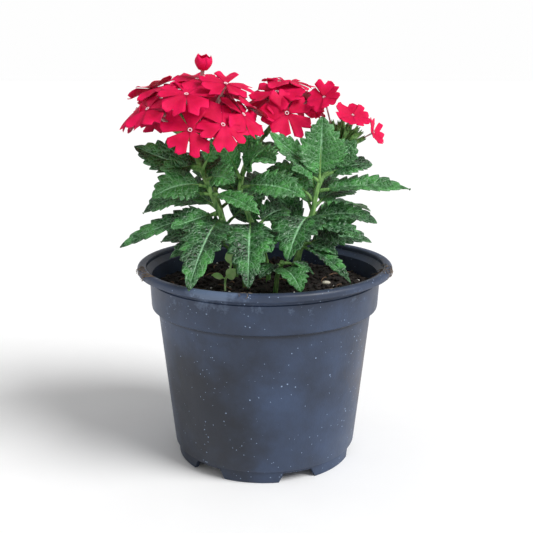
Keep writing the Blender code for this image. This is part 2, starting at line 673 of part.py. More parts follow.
def build_stem(name, stem, mat, side, extra=()):
    """One grown shoot: its square stem, its leaves and any calyces, fused."""
    path = [Vector(p) for p in stem["path"]]
    steps = 2 * (len(path) - 1)
    points = [along(path, k / steps) for k in range(steps + 1)]
    widths = [side / sqrt(2.0) * (1.0 - STEM_TAPER * k / steps) for k in range(steps + 1)]
    pieces = [tube(name, points, widths, Vector((0, -1, 0)), mat)]
    for i, leaf in enumerate(stem["leaves"]):
        foot = point_at_height(path, leaf["rise"])
        pieces.append(build_leaf(f"{name}_leaf_{i}", foot, leaf, mat, side))
    return fuse(name, pieces + list(extra), mat)


def point_at_height(path, height):
    """Point of a rising stem path at a height."""
    low, high = 0.0, 1.0
    for _ in range(30):
        middle = (low + high) / 2.0
        if along(path, middle).z < height:
            low = middle
        else:
            high = middle
    return along(path, low)


def receptacle(name, place, radius, mat):
    """The small green knob that the calyces of a head grow from."""
    bm = bmesh.new()
    bmesh.ops.create_icosphere(bm, subdivisions=1, radius=radius, matrix=Matrix.Translation(place))
    return make_object(name, bm, mat)


def dome_calyces(name, head, mat):
    """Green calyces from the stem's top to just under the core of a domed head."""
    centre = Vector(head["centre"])
    start = Vector(STEMS[head["stem"]]["path"][-1])
    reach = head["radius"] * CORE_INNER * CALYX_REACH
    pieces = [receptacle(name + "_knob", start, KNOB_RADIUS, mat)]
    for i, (azimuth, polar) in enumerate(head["florets"][::2]):
        tip = centre + direction(azimuth, min(polar, CALYX_POLAR)) * reach
        way = (tip - start).normalized()
        pieces.append(spoke(f"{name}_calyx_{i}", start + way * (KNOB_RADIUS - CALYX_SINK), tip,
                            CALYX_FOOT_RADIUS, CALYX_TIP_RADIUS, mat))
    lean = Vector(head["lean"]).normalized()
    top = centre + lean * (head["radius"] * CORE_INNER - MIDDLE_CLEAR)
    pieces.append(spoke(name + "_middle", start, top, MIDDLE_RADIUS, CALYX_FOOT_RADIUS, mat))
    return pieces


def opening_calyces(mat):
    """Long green calyces of the opening head: one under each bloom and some still closed."""
    start = Vector(OPENING_BASE)
    pieces = [receptacle("opening_knob", start, OPENING_KNOB_RADIUS, mat)]
    tips = [bloom_foot(bloom) for bloom in BLOOMS]
    tips += [start + direction(a, p) * OPENING_CALYX for a, p in SPARE_CALYCES]
    for i, tip in enumerate(tips):
        way = (tip - start).normalized()
        foot = start + way * (OPENING_KNOB_RADIUS - CALYX_SINK)
        pieces.append(spoke(f"opening_calyx_{i}", foot, tip - way * CLEAR, CALYX_FOOT_RADIUS,
                            CALYX_TIP_RADIUS, mat))
    return pieces


def bloom_foot(bloom):
    """Where a single bloom's tube starts, above the tip of its calyx."""
    start = Vector(OPENING_BASE)
    way = (Vector(bloom["eye"]) - start).normalized()
    return start + way * OPENING_CALYX


def lifted(head):
    """Each floret's angles and lift; neighbours take different levels, so petals overlap."""
    placed = []
    for azimuth, polar in head["florets"]:
        axis = direction(azimuth, polar)
        near = {level for other, level in placed
                if (axis - other).length * head["radius"] < FLORET_RADIUS * NEIGHBOUR_REACH}
        placed.append((axis, min({0, 1, 2} - near, default=0)))
    return [(*angles, (level - 1) * LIFT) for angles, (_, level) in zip(head["florets"], placed)]


def build_head(name, head, mat):
    """One domed head: a small core shell with the florets standing out of it."""
    centre = Vector(head["centre"])
    lean = Vector(head["lean"]).normalized()
    radius = head["radius"]
    inner, outer = radius * CORE_INNER, radius * CORE_OUTER
    pieces = [core_shell(name + "_core", centre, inner, outer, lean, mat)]
    for i, (azimuth, polar, lift) in enumerate(lifted(head)):
        way = direction(azimuth, polar)
        axis = (way + UP * AXIS_RISE).normalized()
        foot = centre + direction(azimuth, min(polar, FOOT_POLAR)) * (inner + outer) / 2.0
        eye = centre + way * (radius + lift)
        pieces += build_floret(f"{name}_{i}", eye, axis, i * FLORET_TURN, mat, foot)
    if name == "left":
        way = direction(*TOP_BUD_ANGLES)
        foot, tip = centre + way * outer * TOP_BUD_SINK, centre + way * TOP_BUD_REACH
        pieces.append(build_bud("top_bud", foot, tip, TOP_BUD_RADIUS, mat))
    return fuse("flowers_" + name, pieces, mat)


def build_seed(mat):
    """A pale seed that lies on the soil."""
    x, y = SEED_PLACE
    z = soil_height(x, y) + SEED_SIZE[2] + SEED_CLEAR
    place = Matrix.Translation((x, y, z)) @ Matrix.Diagonal((*SEED_SIZE, 1.0))
    bm = bmesh.new()
    bmesh.ops.create_icosphere(bm, subdivisions=1, radius=1.0, matrix=place)
    return make_object("seed", bm, mat)


def main():
    """Build every piece of the potted verbena."""
    for old in list(bpy.data.objects):
        bpy.data.objects.remove(old)
    plastic = material("moulded_plastic", (0.045, 0.060, 0.090), 0.55)
    earth = material("potting_soil", (0.035, 0.024, 0.017), 0.95)
    green = material("verbena_leaf", (0.045, 0.150, 0.050), 0.55)
    young = material("seedling_leaf", (0.300, 0.620, 0.150), 0.50)
    red = material("verbena_petal", (0.680, 0.008, 0.045), 0.60)
    husk = material("seed_husk", (0.600, 0.560, 0.470), 0.60)
    build_pot(plastic)
    holes = [(*stem["path"][0][:2], HOLE_RADIUS) for stem in STEMS.values()]
    holes.append((*SEEDLING["path"][0][:2], SEEDLING_HOLE))
    build_soil(earth, holes)
    for name, stem in STEMS.items():
        extra = []
        for key, head in HEADS.items():
            if head["stem"] == name:
                extra += dome_calyces(key, head, green)
        if name == "stem_right":
            extra += opening_calyces(green)
        build_stem(name, stem, green, STEM_SIDE, extra)
    for name, head in HEADS.items():
        build_head(name, head, red)
    for i, bloom in enumerate(BLOOMS):
        eye, axis = Vector(bloom["eye"]), Vector(bloom["axis"]).normalized()
        pieces = build_floret(f"bloom_{i}", eye, axis, i * BLOOM_TURN, red, bloom_foot(bloom),
                              bloom["radius"], bloom["cup"])
        fuse(f"bloom_right_{i + 1}", pieces, red)
    build_stem("seedling", SEEDLING, young, SEEDLING_SIDE)
    build_seed(husk)


main()
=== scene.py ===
"""Looks for a verbena in its nursery pot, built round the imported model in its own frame."""
import logging
from collections.abc import Callable
from dataclasses import dataclass
from enum import Enum
from math import cos, pi, radians, sin, sqrt

import bmesh
import bpy
import numpy as np
from mathutils import Matrix, Vector


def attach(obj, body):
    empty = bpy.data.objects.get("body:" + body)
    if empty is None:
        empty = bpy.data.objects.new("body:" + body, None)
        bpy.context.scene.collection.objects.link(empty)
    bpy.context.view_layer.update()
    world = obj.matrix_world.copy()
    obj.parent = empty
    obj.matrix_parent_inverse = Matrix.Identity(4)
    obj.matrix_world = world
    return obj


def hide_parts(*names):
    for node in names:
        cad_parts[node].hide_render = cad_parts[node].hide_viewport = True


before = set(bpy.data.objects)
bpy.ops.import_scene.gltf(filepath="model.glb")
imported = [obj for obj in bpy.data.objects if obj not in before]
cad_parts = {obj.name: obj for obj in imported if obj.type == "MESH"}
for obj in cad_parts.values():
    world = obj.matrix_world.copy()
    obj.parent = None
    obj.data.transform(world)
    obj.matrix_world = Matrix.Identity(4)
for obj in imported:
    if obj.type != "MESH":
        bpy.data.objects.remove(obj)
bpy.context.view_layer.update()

LOG = logging.getLogger("verbena")
MM = 0.001
UP = np.array((0.0, 0.0, 1.0))
Rng = np.random.Generator
Section = Callable[[float], float]


def linear(code: str) -> tuple:
    """Turn an sRGB hex colour into linear light.

    Args:
        code: Colour as "#RRGGBB".

    Returns:
        Red, green, blue and full alpha.
    """
    parts = [int(code[i:i + 2], 16) / 255.0 for i in (1, 3, 5)]
    return (*[c / 12.92 if c <= 0.04045 else ((c + 0.055) / 1.055) ** 2.4 for c in parts], 1.0)


def per_mm(size: float) -> float:
    """Texture scale at which one cell of a pattern is this many millimetres wide."""
    return 1.0 / (size * MM)


def add(tree: bpy.types.NodeTree, kind: str, settings: dict | None = None,
        links: dict | None = None) -> bpy.types.Node:
    """Add one shader node with its settings and its incoming links.

    Args:
        tree: Node tree to add to.
        kind: Node type without the "ShaderNode" prefix.
        settings: Property names, or input names or numbers, with their values. "stops" fills a ramp.
        links: Input names or numbers with the sockets that feed them.

    Returns:
        The new node.
    """
    made = tree.nodes.new("ShaderNode" + kind)
    for key, value in (settings or {}).items():
        if key == "stops":
            ramp = made.color_ramp
            while len(ramp.elements) < len(value):
                ramp.elements.new(1.0)
            for element, (place, code) in zip(ramp.elements, value):
                element.position = place
                element.color = linear(code)
        elif isinstance(key, int) or key in made.inputs:
            made.inputs[key].default_value = value
        else:
            setattr(made, key, value)
    for key, source in (links or {}).items():
        tree.links.new(source, made.inputs[key])
    return made


def new_material(name: str) -> tuple:
    """Start a material with one Principled BSDF.

    Args:
        name: Material name.

    Returns:
        The material, its tree, its shader and object coordinates in metres.
    """
    mat = bpy.data.materials.new(name)
    mat.use_nodes = True
    tree = mat.node_tree
    shader = tree.nodes["Principled BSDF"]
    place = add(tree, "TexCoord").outputs["Object"]
    return mat, tree, shader, place


class Habit(Enum):
    """How a leaf's edge is cut."""

    TOOTHED = "toothed"
    SMOOTH = "smooth"


@dataclass(frozen=True)
class StainAndShade:
    """One large soft patch, a real stain or painted shade: colour, middle and reach in metres, and share of
    the colour at its middle.
    """

    code: str
    middle: tuple
    reach: float
    strength: float
    wobble: float = 0.020

    def mix(self, tree: bpy.types.NodeTree, place: bpy.types.NodeSocket, tone: bpy.types.Node,
            cloud: bpy.types.Node) -> bpy.types.Node:
        """Mix the patch, a stain or painted shade, into a colour, with an edge that a noise makes uneven.

        Args:
            tree: Node tree to add to.
            place: Socket of object coordinates.
            tone: Node that gives the colour so far.
            cloud: Noise node that bends the edge.

        Returns:
            The node that gives the mixed colour.
        """
        far = add(tree, "VectorMath", {"operation": "DISTANCE", 1: self.middle}, {0: place})
        bend = add(tree, "MapRange", {"To Min": -self.wobble, "To Max": self.wobble},
                   {"Value": cloud.outputs["Fac"]})
        edge = add(tree, "Math", {"operation": "ADD"}, {0: far.outputs["Value"], 1: bend.outputs[0]})
        mask = add(tree, "MapRange", {"From Min": self.reach * 0.45, "From Max": self.reach * 1.1,
                                      "To Min": self.strength, "To Max": 0.0}, {"Value": edge.outputs[0]})
        return add(tree, "MixRGB", {"Color2": linear(self.code)},
                   {"Fac": mask.outputs[0], "Color1": tone.outputs[0]})


# Polypropylene, injection moulded with a faint grain: the eye gets a satin dark blue-grey that is never
# quite even, paler where it was rubbed and chalky near the rim, with painted shade on its lower left side
# and a painted shade line in the corner under the collar.
@dataclass(frozen=True)
class MouldedPolypropylene:
    """Injection-moulded polypropylene of the pot: satin, dusty, with chalky water marks."""

    deep: str = "#10151F"
    body: str = "#28354C"
    worn: str = "#364866"
    chalk: str = "#7F93B0"
    speck: str = "#93A9C8"
    refraction: float = 1.49
    cloud_mm: float = 26.0
    patch_mm: float = 9.0
    streak_mm: float = 3.0
    grain_mm: float = 0.9
    speck_mm: float = 2.3
    speck_crowd_mm: float = 11.0
    streak_squeeze: float = 0.06
    chalk_low: float = 0.072
    chalk_full: float = 0.0885
    shoulder_line: float = 0.0722
    # Painted shade: the dark band under the collar is full within the first distance of the shoulder line
    # and gone at the second.
    shade_line_inner: float = 0.0002
    shade_line_outer: float = 0.0016
    # Painted shade: a dark soft patch low on the left front, the side the sun from the right leaves in
    # shade; dust and lime are real stains.
    left_shade: StainAndShade = StainAndShade("#10151F", (-0.034, -0.040, 0.030), 0.038, 0.85)
    dust: StainAndShade = StainAndShade("#5F5650", (0.052, -0.004, 0.045), 0.026, 0.60)
    lime: StainAndShade = StainAndShade("#7F93B0", (-0.022, -0.057, 0.0925), 0.011, 0.42)

    def make(self) -> bpy.types.Material:
        """Build the material of the pot.

        Returns:
            The material.
        """
        mat, tree, shader, place = new_material("moulded_polypropylene")
        broad = add(tree, "TexNoise", {"Scale": per_mm(self.cloud_mm), "Detail": 6.0, "Roughness": 0.62},
                    {"Vector": place})
        tone = add(tree, "ValToRGB", {"stops": [(0.10, self.deep), (0.45, self.body), (0.78, self.worn)]},
                   {"Fac": broad.outputs["Fac"]})
        streaks = add(tree, "Mapping", {"Scale": (1.0, 1.0, self.streak_squeeze)}, {"Vector": place})
        flow = add(tree, "TexNoise", {"Scale": per_mm(self.streak_mm), "Detail": 5.0},
                   {"Vector": streaks.outputs[0]})
        flow_mask = add(tree, "ValToRGB", {"stops": [(0.56, "#000000"), (0.82, "#5A5A5A")]},
                        {"Fac": flow.outputs["Fac"]})
        tone = add(tree, "MixRGB", {"Color2": linear(self.worn)},
                   {"Fac": flow_mask.outputs[0], "Color1": tone.outputs[0]})
        patch = add(tree, "TexNoise", {"Scale": per_mm(self.patch_mm), "Detail": 8.0, "Roughness": 0.7},
                    {"Vector": place})
        # Painted shade on the pot's lower left side first, then the real dust and lime stains.
        tone = self.left_shade.mix(tree, place, tone, broad)
        tone = self.dust.mix(tree, place, tone, broad)
        tone = self.lime.mix(tree, place, tone, patch)
        height = add(tree, "SeparateXYZ", links={"Vector": place})
        near_rim = add(tree, "MapRange", {"From Min": self.chalk_low, "From Max": self.chalk_full},
                       {"Value": height.outputs["Z"]})
        chalk_mask = add(tree, "MapRange", {"From Min": 0.60, "From Max": 0.80},
                         {"Value": patch.outputs["Fac"]})
        chalk_here = add(tree, "Math", {"operation": "MULTIPLY"},
                         {0: chalk_mask.outputs[0], 1: near_rim.outputs[0]})
        tone = add(tree, "MixRGB", {"Color2": linear(self.chalk)},
                   {"Fac": chalk_here.outputs[0], "Color1": tone.outputs[0]})
        # Painted shade: a dark line along the shoulder, standing in for the shadow under the collar's step.
        off_line = add(tree, "Math", {"operation": "SUBTRACT", 1: self.shoulder_line},
                       {0: height.outputs["Z"]})
        from_line = add(tree, "Math", {"operation": "ABSOLUTE"}, {0: off_line.outputs[0]})
        shoulder_shade = add(tree, "MapRange", {"From Min": self.shade_line_inner, "From Max": self.shade_line_outer,
                                      "To Min": 0.80, "To Max": 0.0}, {"Value": from_line.outputs[0]})
        tone = add(tree, "MixRGB", {"Color2": linear(self.deep)},
                   {"Fac": shoulder_shade.outputs[0], "Color1": tone.outputs[0]})
        # The real specks of lime are finer; these are as coarse as they need to be to show.
        dots = add(tree, "TexVoronoi", {"Scale": per_mm(self.speck_mm), "Randomness": 1.0},
                   {"Vector": place})
        dot_size = add(tree, "TexNoise", {"Scale": per_mm(self.speck_crowd_mm), "Detail": 3.0},
                       {"Vector": place})
        dot_edge = add(tree, "MapRange", {"From Min": 0.38, "From Max": 0.72, "To Min": 0.03,
                                          "To Max": 0.17}, {"Value": dot_size.outputs["Fac"]})
        dot_mask = add(tree, "Math", {"operation": "LESS_THAN"},
                       {0: dots.outputs["Distance"], 1: dot_edge.outputs[0]})
        dot_soft = add(tree, "Math", {"operation": "MULTIPLY", 1: 0.75}, {0: dot_mask.outputs[0]})
        tone = add(tree, "MixRGB", {"Color2": linear(self.speck)},
                   {"Fac": dot_soft.outputs[0], "Color1": tone.outputs[0]})
        rough = add(tree, "MapRange", {"To Min": 0.34, "To Max": 0.60}, {"Value": patch.outputs["Fac"]})
        grain = add(tree, "TexNoise", {"Scale": per_mm(self.grain_mm), "Detail": 4.0}, {"Vector": place})
        bump = add(tree, "Bump", {"Strength": 0.12, "Distance": 0.0004},
                   {"Height": grain.outputs["Fac"]})
        wave = add(tree, "Bump", {"Strength": 0.20, "Distance": 0.0012},
                   {"Height": broad.outputs["Fac"], "Normal": bump.outputs[0]})
        tree.links.new(tone.outputs[0], shader.inputs["Base Color"])
        tree.links.new(rough.outputs[0], shader.inputs["Roughness"])
        tree.links.new(wave.outputs[0], shader.inputs["Normal"])
        shader.inputs["IOR"].default_value = self.refraction
        return mat


# Verbena leaf blade, grown: the eye gets a dark quilted green with pale veins in a net, a little gloss on
# the raised cells, and a duller yellow-green below.
@dataclass(frozen=True)
class VerbenaLeaf:
    """Living verbena leaf: wrinkled between its veins, dark above and paler below."""

    shade: str = "#051E0A"
    green: str = "#184F1F"
    light: str = "#4C9B45"
    vein: str = "#A4DCAA"
    under: str = "#567D3C"
    patch_mm: float = 9.0
    net_mm: float = 2.0
    wander_mm: float = 2.2
    side_vein: float = 0.050
    midrib_inner: float = 0.02
    midrib_outer: float = 0.075
    vein_strength: float = 0.72
    net_strength: float = 0.26
    under_strength: float = 0.62
    glow_reach: tuple = (0.0006, 0.0012, 0.0003)

    def make(self) -> bpy.types.Material:
        """Build the material; it reads each leaf's own marks for the veins and the lower side.

        Returns:
            The material.
        """
        mat, tree, shader, place = new_material("verbena_leaf_blade")
        mark = add(tree, "Attribute", {"attribute_name": "leaf_place"})
        phase, across, tone = [add(tree, "SeparateXYZ", links={"Vector": mark.outputs["Vector"]}).outputs[i]
                               for i in range(3)]
        side = add(tree, "Attribute", {"attribute_name": "leaf_under"})
        patch = add(tree, "TexNoise", {"Scale": per_mm(self.patch_mm), "Detail": 2.0, "Roughness": 0.5},
                    {"Vector": place})
        greens = [(0.28, self.shade), (0.50, self.green), (0.74, self.light)]
        base = add(tree, "ValToRGB", {"stops": greens}, {"Fac": patch.outputs["Fac"]})
        young = add(tree, "MixRGB", {"Color2": linear(self.light)},
                    {"Fac": tone, "Color1": base.outputs[0]})
        wobble = add(tree, "TexNoise", {"Scale": per_mm(self.wander_mm), "Detail": 3.0}, {"Vector": place})
        shift = add(tree, "MapRange", {"To Min": -0.10, "To Max": 0.10}, {"Value": wobble.outputs["Fac"]})
        moved = add(tree, "Math", {"operation": "ADD"}, {0: phase, 1: shift.outputs[0]})
        near = add(tree, "Math", {"operation": "PINGPONG", 1: 0.5}, {0: moved.outputs[0]})
        lateral = add(tree, "MapRange", {"From Min": 0.0, "From Max": self.side_vein, "To Min": 1.0,
                                         "To Max": 0.0}, {"Value": near.outputs[0]})
        middle = add(tree, "Math", {"operation": "ABSOLUTE"}, {0: across})
        midrib = add(tree, "MapRange", {"From Min": self.midrib_inner, "From Max": self.midrib_outer,
                                        "To Min": 1.0, "To Max": 0.0}, {"Value": middle.outputs[0]})
        veins = add(tree, "Math", {"operation": "MAXIMUM"}, {0: lateral.outputs[0], 1: midrib.outputs[0]})
        net = add(tree, "TexVoronoi", {"Scale": per_mm(self.net_mm), "feature": "DISTANCE_TO_EDGE"},
                  {"Vector": place})
        mesh_lines = add(tree, "MapRange", {"From Max": 0.10, "To Min": 1.0, "To Max": 0.0},
                         {"Value": net.outputs["Distance"]})
        faint = add(tree, "Math", {"operation": "MULTIPLY", 1: self.net_strength},
                    {0: mesh_lines.outputs[0]})
        strong = add(tree, "Math", {"operation": "MULTIPLY", 1: self.vein_strength}, {0: veins.outputs[0]})
        lines = add(tree, "Math", {"operation": "MAXIMUM"}, {0: strong.outputs[0], 1: faint.outputs[0]})
        top = add(tree, "MixRGB", {"Color2": linear(self.vein)}, {"Fac": lines.outputs[0],
                                                                  "Color1": young.outputs[0]})
        whole = add(tree, "MixRGB", {"Color2": linear(self.under)}, {"Color1": top.outputs[0]})
        part_under = add(tree, "Math", {"operation": "MULTIPLY", 1: self.under_strength},
                         {0: side.outputs["Fac"]})
        tree.links.new(part_under.outputs[0], whole.inputs["Fac"])
        cells = add(tree, "MapRange", {"From Max": 0.30}, {"Value": net.outputs["Distance"]})
        sunk = add(tree, "Math", {"operation": "SUBTRACT"}, {0: cells.outputs[0], 1: veins.outputs[0]})
        quilt = add(tree, "Bump", {"Strength": 0.70, "Distance": 0.0005}, {"Height": sunk.outputs[0]})
        tree.links.new(whole.outputs[0], shader.inputs["Base Color"])
        tree.links.new(quilt.outputs[0], shader.inputs["Normal"])
        gloss = add(tree, "MapRange", {"To Min": 0.34, "To Max": 0.50}, {"Value": patch.outputs["Fac"]})
        tree.links.new(gloss.outputs[0], shader.inputs["Roughness"])
        shader.inputs["Specular IOR Level"].default_value = 0.6
        shader.inputs["Subsurface Weight"].default_value = 0.08
        shader.inputs["Subsurface Radius"].default_value = self.glow_reach
        shader.inputs["Subsurface Scale"].default_value = 1.0
        return mat


# Verbena stem skin, grown: the eye gets a fresh pale green with long darker flecks and a faint brown blush.
@dataclass(frozen=True)
class VerbenaStem:
    """Living verbena stem and calyx: ribbed and pale green."""

    dark: str = "#3A6B2E"
    pale: str = "#86B265"
    blush: str = "#6F5244"
    fleck_mm: float = 1.6
    blush_mm: float = 14.0
    fleck_squeeze: float = 0.25

    def make(self) -> bpy.types.Material:
        """Build the material of the stems, stalks and calyces.

        Returns:
            The material.
        """
        mat, tree, shader, place = new_material("verbena_stem_skin")
        stretch = add(tree, "Mapping", {"Scale": (1.0, 1.0, self.fleck_squeeze)}, {"Vector": place})
        fleck = add(tree, "TexNoise", {"Scale": per_mm(self.fleck_mm), "Detail": 6.0},
                    {"Vector": stretch.outputs[0]})
        base = add(tree, "ValToRGB", {"stops": [(0.34, self.dark), (0.66, self.pale)]},
                   {"Fac": fleck.outputs["Fac"]})
        broad = add(tree, "TexNoise", {"Scale": per_mm(self.blush_mm), "Detail": 2.0}, {"Vector": place})
        blush = add(tree, "MapRange", {"From Min": 0.58, "From Max": 0.80, "To Max": 0.45},
                    {"Value": broad.outputs["Fac"]})
        tone = add(tree, "MixRGB", {"Color2": linear(self.blush)},
                   {"Fac": blush.outputs[0], "Color1": base.outputs[0]})
        bump = add(tree, "Bump", {"Strength": 0.4, "Distance": 0.0003}, {"Height": fleck.outputs["Fac"]})
        tree.links.new(tone.outputs[0], shader.inputs["Base Color"])
        tree.links.new(bump.outputs[0], shader.inputs["Normal"])
        shader.inputs["Roughness"].default_value = 0.5
        shader.inputs["Specular IOR Level"].default_value = 0.3
        return mat


# Verbena petal, grown: the eye gets matt velvet in scarlet-pink, deeper towards the throat and in fine
# streaks, with a pale ring round the eye.
@dataclass(frozen=True)
class VerbenaPetal:
    """Living verbena petal: soft scarlet-pink with a pale ring round the eye."""

    heart: str = "#7A0420"
    red: str = "#C0063A"
    bright: str = "#EE1658"
    ring: str = "#E9C4CB"
    under: str = "#A81C44"
    cloud_mm: float = 7.0
    streak_count: float = 2.0
    streak_squeeze: tuple = (1.6, 9.0, 1.0)
    ring_inner: float = 0.055
    ring_outer: float = 0.075
    under_strength: float = 0.55
    glow_reach: tuple = (0.0018, 0.0004, 0.0005)

    def make(self) -> bpy.types.Material:
        """Build the material; it reads each petal's own marks for the ring and the lower side.

        Returns:
            The material.
        """
        mat, tree, shader, place = new_material("verbena_petal_velvet")
        mark = add(tree, "Attribute", {"attribute_name": "petal_place"})
        parts = add(tree, "SeparateXYZ", links={"Vector": mark.outputs["Vector"]})
        reach = add(tree, "ValToRGB", {"stops": [(0.0, self.heart), (0.22, self.red), (0.62, self.red),
                                                 (1.0, self.bright)]}, {"Fac": parts.outputs["X"]})
        cloud = add(tree, "TexNoise", {"Scale": per_mm(self.cloud_mm), "Detail": 4.0}, {"Vector": place})
        lift = add(tree, "MapRange", {"From Min": 0.35, "From Max": 0.75, "To Max": 0.75},
                   {"Value": cloud.outputs["Fac"]})
        tone = add(tree, "MixRGB", {"Color2": linear(self.bright)},
                   {"Fac": lift.outputs[0], "Color1": reach.outputs[0]})
        lines = add(tree, "Mapping", {"Scale": self.streak_squeeze}, {"Vector": mark.outputs["Vector"]})
        streak = add(tree, "TexNoise", {"Scale": self.streak_count, "Detail": 3.0},
                     {"Vector": lines.outputs[0]})
        dark = add(tree, "MapRange", {"From Min": 0.52, "From Max": 0.80, "To Max": 0.35},
                   {"Value": streak.outputs["Fac"]})
        tone = add(tree, "MixRGB", {"Color2": linear(self.heart)},
                   {"Fac": dark.outputs[0], "Color1": tone.outputs[0]})
        ring = add(tree, "MapRange", {"From Min": self.ring_inner, "From Max": self.ring_outer,
                                      "To Min": 1.0, "To Max": 0.0}, {"Value": parts.outputs["X"]})
        tone = add(tree, "MixRGB", {"Color2": linear(self.ring)},
                   {"Fac": ring.outputs[0], "Color1": tone.outputs[0]})
        below = add(tree, "Attribute", {"attribute_name": "petal_under"})
        part_below = add(tree, "Math", {"operation": "MULTIPLY", 1: self.under_strength},
                         {0: below.outputs["Fac"]})
        tone = add(tree, "MixRGB", {"Color2": linear(self.under)},
                   {"Fac": part_below.outputs[0], "Color1": tone.outputs[0]})
        bump = add(tree, "Bump", {"Strength": 0.3, "Distance": 0.0003}, {"Height": streak.outputs["Fac"]})
        tree.links.new(tone.outputs[0], shader.inputs["Base Color"])
        tree.links.new(bump.outputs[0], shader.inputs["Normal"])
        shader.inputs["Roughness"].default_value = 0.6
        shader.inputs["Specular IOR Level"].default_value = 0.12
        shader.inputs["Subsurface Weight"].default_value = 0.15
        shader.inputs["Subsurface Radius"].default_value = self.glow_reach
        shader.inputs["Subsurface Scale"].default_value = 1.0
        return mat


# Small grown or earthy things, such as peat, bark, husks and young leaves: the eye gets two mottled tones
# and a fine uneven skin, from quite dull to faintly glossy.
@dataclass(frozen=True)
class MottledNature:
    """A small grown or earthy finish with two mottled tones and a fine bump."""

    name: str
    first: str
    second: str
    cell: float
    roughness: float = 0.6
    bump: float = 0.3
    depth: float = 0.0003

    def make(self) -> bpy.types.Material:
        """Build the material in its two tones.

        Returns:
            The material.
        """
        mat, tree, shader, place = new_material(self.name)
        cloud = add(tree, "TexNoise", {"Scale": per_mm(self.cell), "Detail": 6.0, "Roughness": 0.65},
                    {"Vector": place})
        tone = add(tree, "ValToRGB", {"stops": [(0.32, self.first), (0.68, self.second)]},
                   {"Fac": cloud.outputs["Fac"]})
        bump = add(tree, "Bump", {"Strength": self.bump, "Distance": self.depth},
                   {"Height": cloud.outputs["Fac"]})
        tree.links.new(tone.outputs[0], shader.inputs["Base Color"])
        tree.links.new(bump.outputs[0], shader.inputs["Normal"])
        shader.inputs["Roughness"].default_value = self.roughness
        return mat


def link_mesh(bm: bmesh.types.BMesh, name: str, mat: bpy.types.Material | None = None) -> bpy.types.Object:
    """Turn a mesh under construction into an object of the scene.

    Args:
        bm: The mesh, which is freed.
        name: Name of the mesh and the object.
        mat: Its material, or none.

    Returns:
        The new object.
    """
    mesh = bpy.data.meshes.new(name)
    bm.to_mesh(mesh)
    bm.free()
    if mat:
        mesh.materials.append(mat)
    obj = bpy.data.objects.new(name, mesh)
    bpy.context.scene.collection.objects.link(obj)
    return obj


def dress(obj: bpy.types.Object, slot: str, *nodes: str) -> None:
    """Let a piece ride on the part and hide the nodes it stands for.

    Args:
        obj: The piece.
        slot: Not used.
        nodes: Nodes it replaces.
    """
    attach(obj, "root")
    if nodes:
        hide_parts(*nodes)


class Draft:
    """Points, faces and marks gathered for one mesh, in millimetres."""

    def __init__(self) -> None:
        """Start empty."""
        self.points: list = []
        self.faces: list = []
        self.marks: list = []
        self.under: list = []
        self.count: int = 0

    def take(self, points: np.ndarray, faces: np.ndarray, marks: np.ndarray | None = None,
             under: np.ndarray | None = None) -> None:
        """Add a block of points and faces.

        Args:
            points: Array of n by 3 places.
            faces: Array of m by 3 or m by 4 indices into the block.
            marks: Array of n by 3 marks for the material, or none.
            under: Array of n numbers, 1 on a lower side, or none.
        """
        size = len(points)
        self.points.append(points)
        self.faces += (np.asarray(faces) + self.count).tolist()
        self.marks.append(np.zeros((size, 3)) if marks is None else marks)
        self.under.append(np.zeros(size) if under is None else under)
        self.count += size

    def build(self, name: str, mat: bpy.types.Material, mark: str = "",
              smooth: bool = True) -> bpy.types.Object:
        """Make the object.

        Args:
            name: Object name.
            mat: Its material.
            mark: First word of the mark attributes, such as "leaf".
            smooth: Whether faces are shaded smooth.

        Returns:
            The new object, linked to the scene.
        """
        mesh = bpy.data.meshes.new(name)
        points = np.concatenate(self.points) * MM
        mesh.from_pydata(points.tolist(), [], self.faces)
        if mark:
            place = mesh.attributes.new(mark + "_place", "FLOAT_VECTOR", "POINT")
            place.data.foreach_set("vector", np.concatenate(self.marks).astype(np.float32).ravel())
            lower = mesh.attributes.new(mark + "_under", "FLOAT", "POINT")
            lower.data.foreach_set("value", np.concatenate(self.under).astype(np.float32))
        mesh.polygons.foreach_set("use_smooth", [smooth] * len(mesh.polygons))
        mesh.materials.append(mat)
        mesh.validate()
        obj = bpy.data.objects.new(name, mesh)
        bpy.context.scene.collection.objects.link(obj)
        return obj


def sheet_faces(rows: int, cols: int) -> np.ndarray:
    """Faces of a closed sheet: an upper grid, a lower grid after it, and the rim between them.

    Args:
        rows: Points along the sheet.
        cols: Points across the sheet.

    Returns:
        Array of quads, facing out.
    """
    i, j = np.meshgrid(np.arange(rows - 1), np.arange(cols - 1), indexing="ij")
    a = (i * cols + j).ravel()
    upper = np.stack([a, a + 1, a + cols + 1, a + cols], 1)
    size = rows * cols
    lower = upper[:, ::-1] + size
    loop = list(range(cols)) + [r * cols + cols - 1 for r in range(1, rows)]
    loop += [(rows - 1) * cols + c for c in range(cols - 2, -1, -1)]
    loop += [r * cols for r in range(rows - 2, 0, -1)]
    edge = np.array(loop)
    after = np.roll(edge, -1)
    rim = np.stack([edge, edge + size, after + size, after], 1)
    return np.concatenate([upper, lower, rim])


def ring_faces(rings: int, sides: int) -> list:
    """Quads between rings of points that follow each other.

    Args:
        rings: How many rings there are.
        sides: Points in each ring.

    Returns:
        Lists of four indices, facing out where the rings rise.
    """
    return [[r * sides + k, r * sides + (k + 1) % sides, (r + 1) * sides + (k + 1) % sides,
             (r + 1) * sides + k] for r in range(rings - 1) for k in range(sides)]


def round_place(radius: float, angle: float, height: float) -> tuple:
    """Place at a radius and angle round the pot's axis, and at a height."""
    return radius * cos(angle), radius * sin(angle), height


def metres(place: tuple) -> tuple:
    """A place in millimetres turned to metres."""
    return tuple(part * MM for part in place)


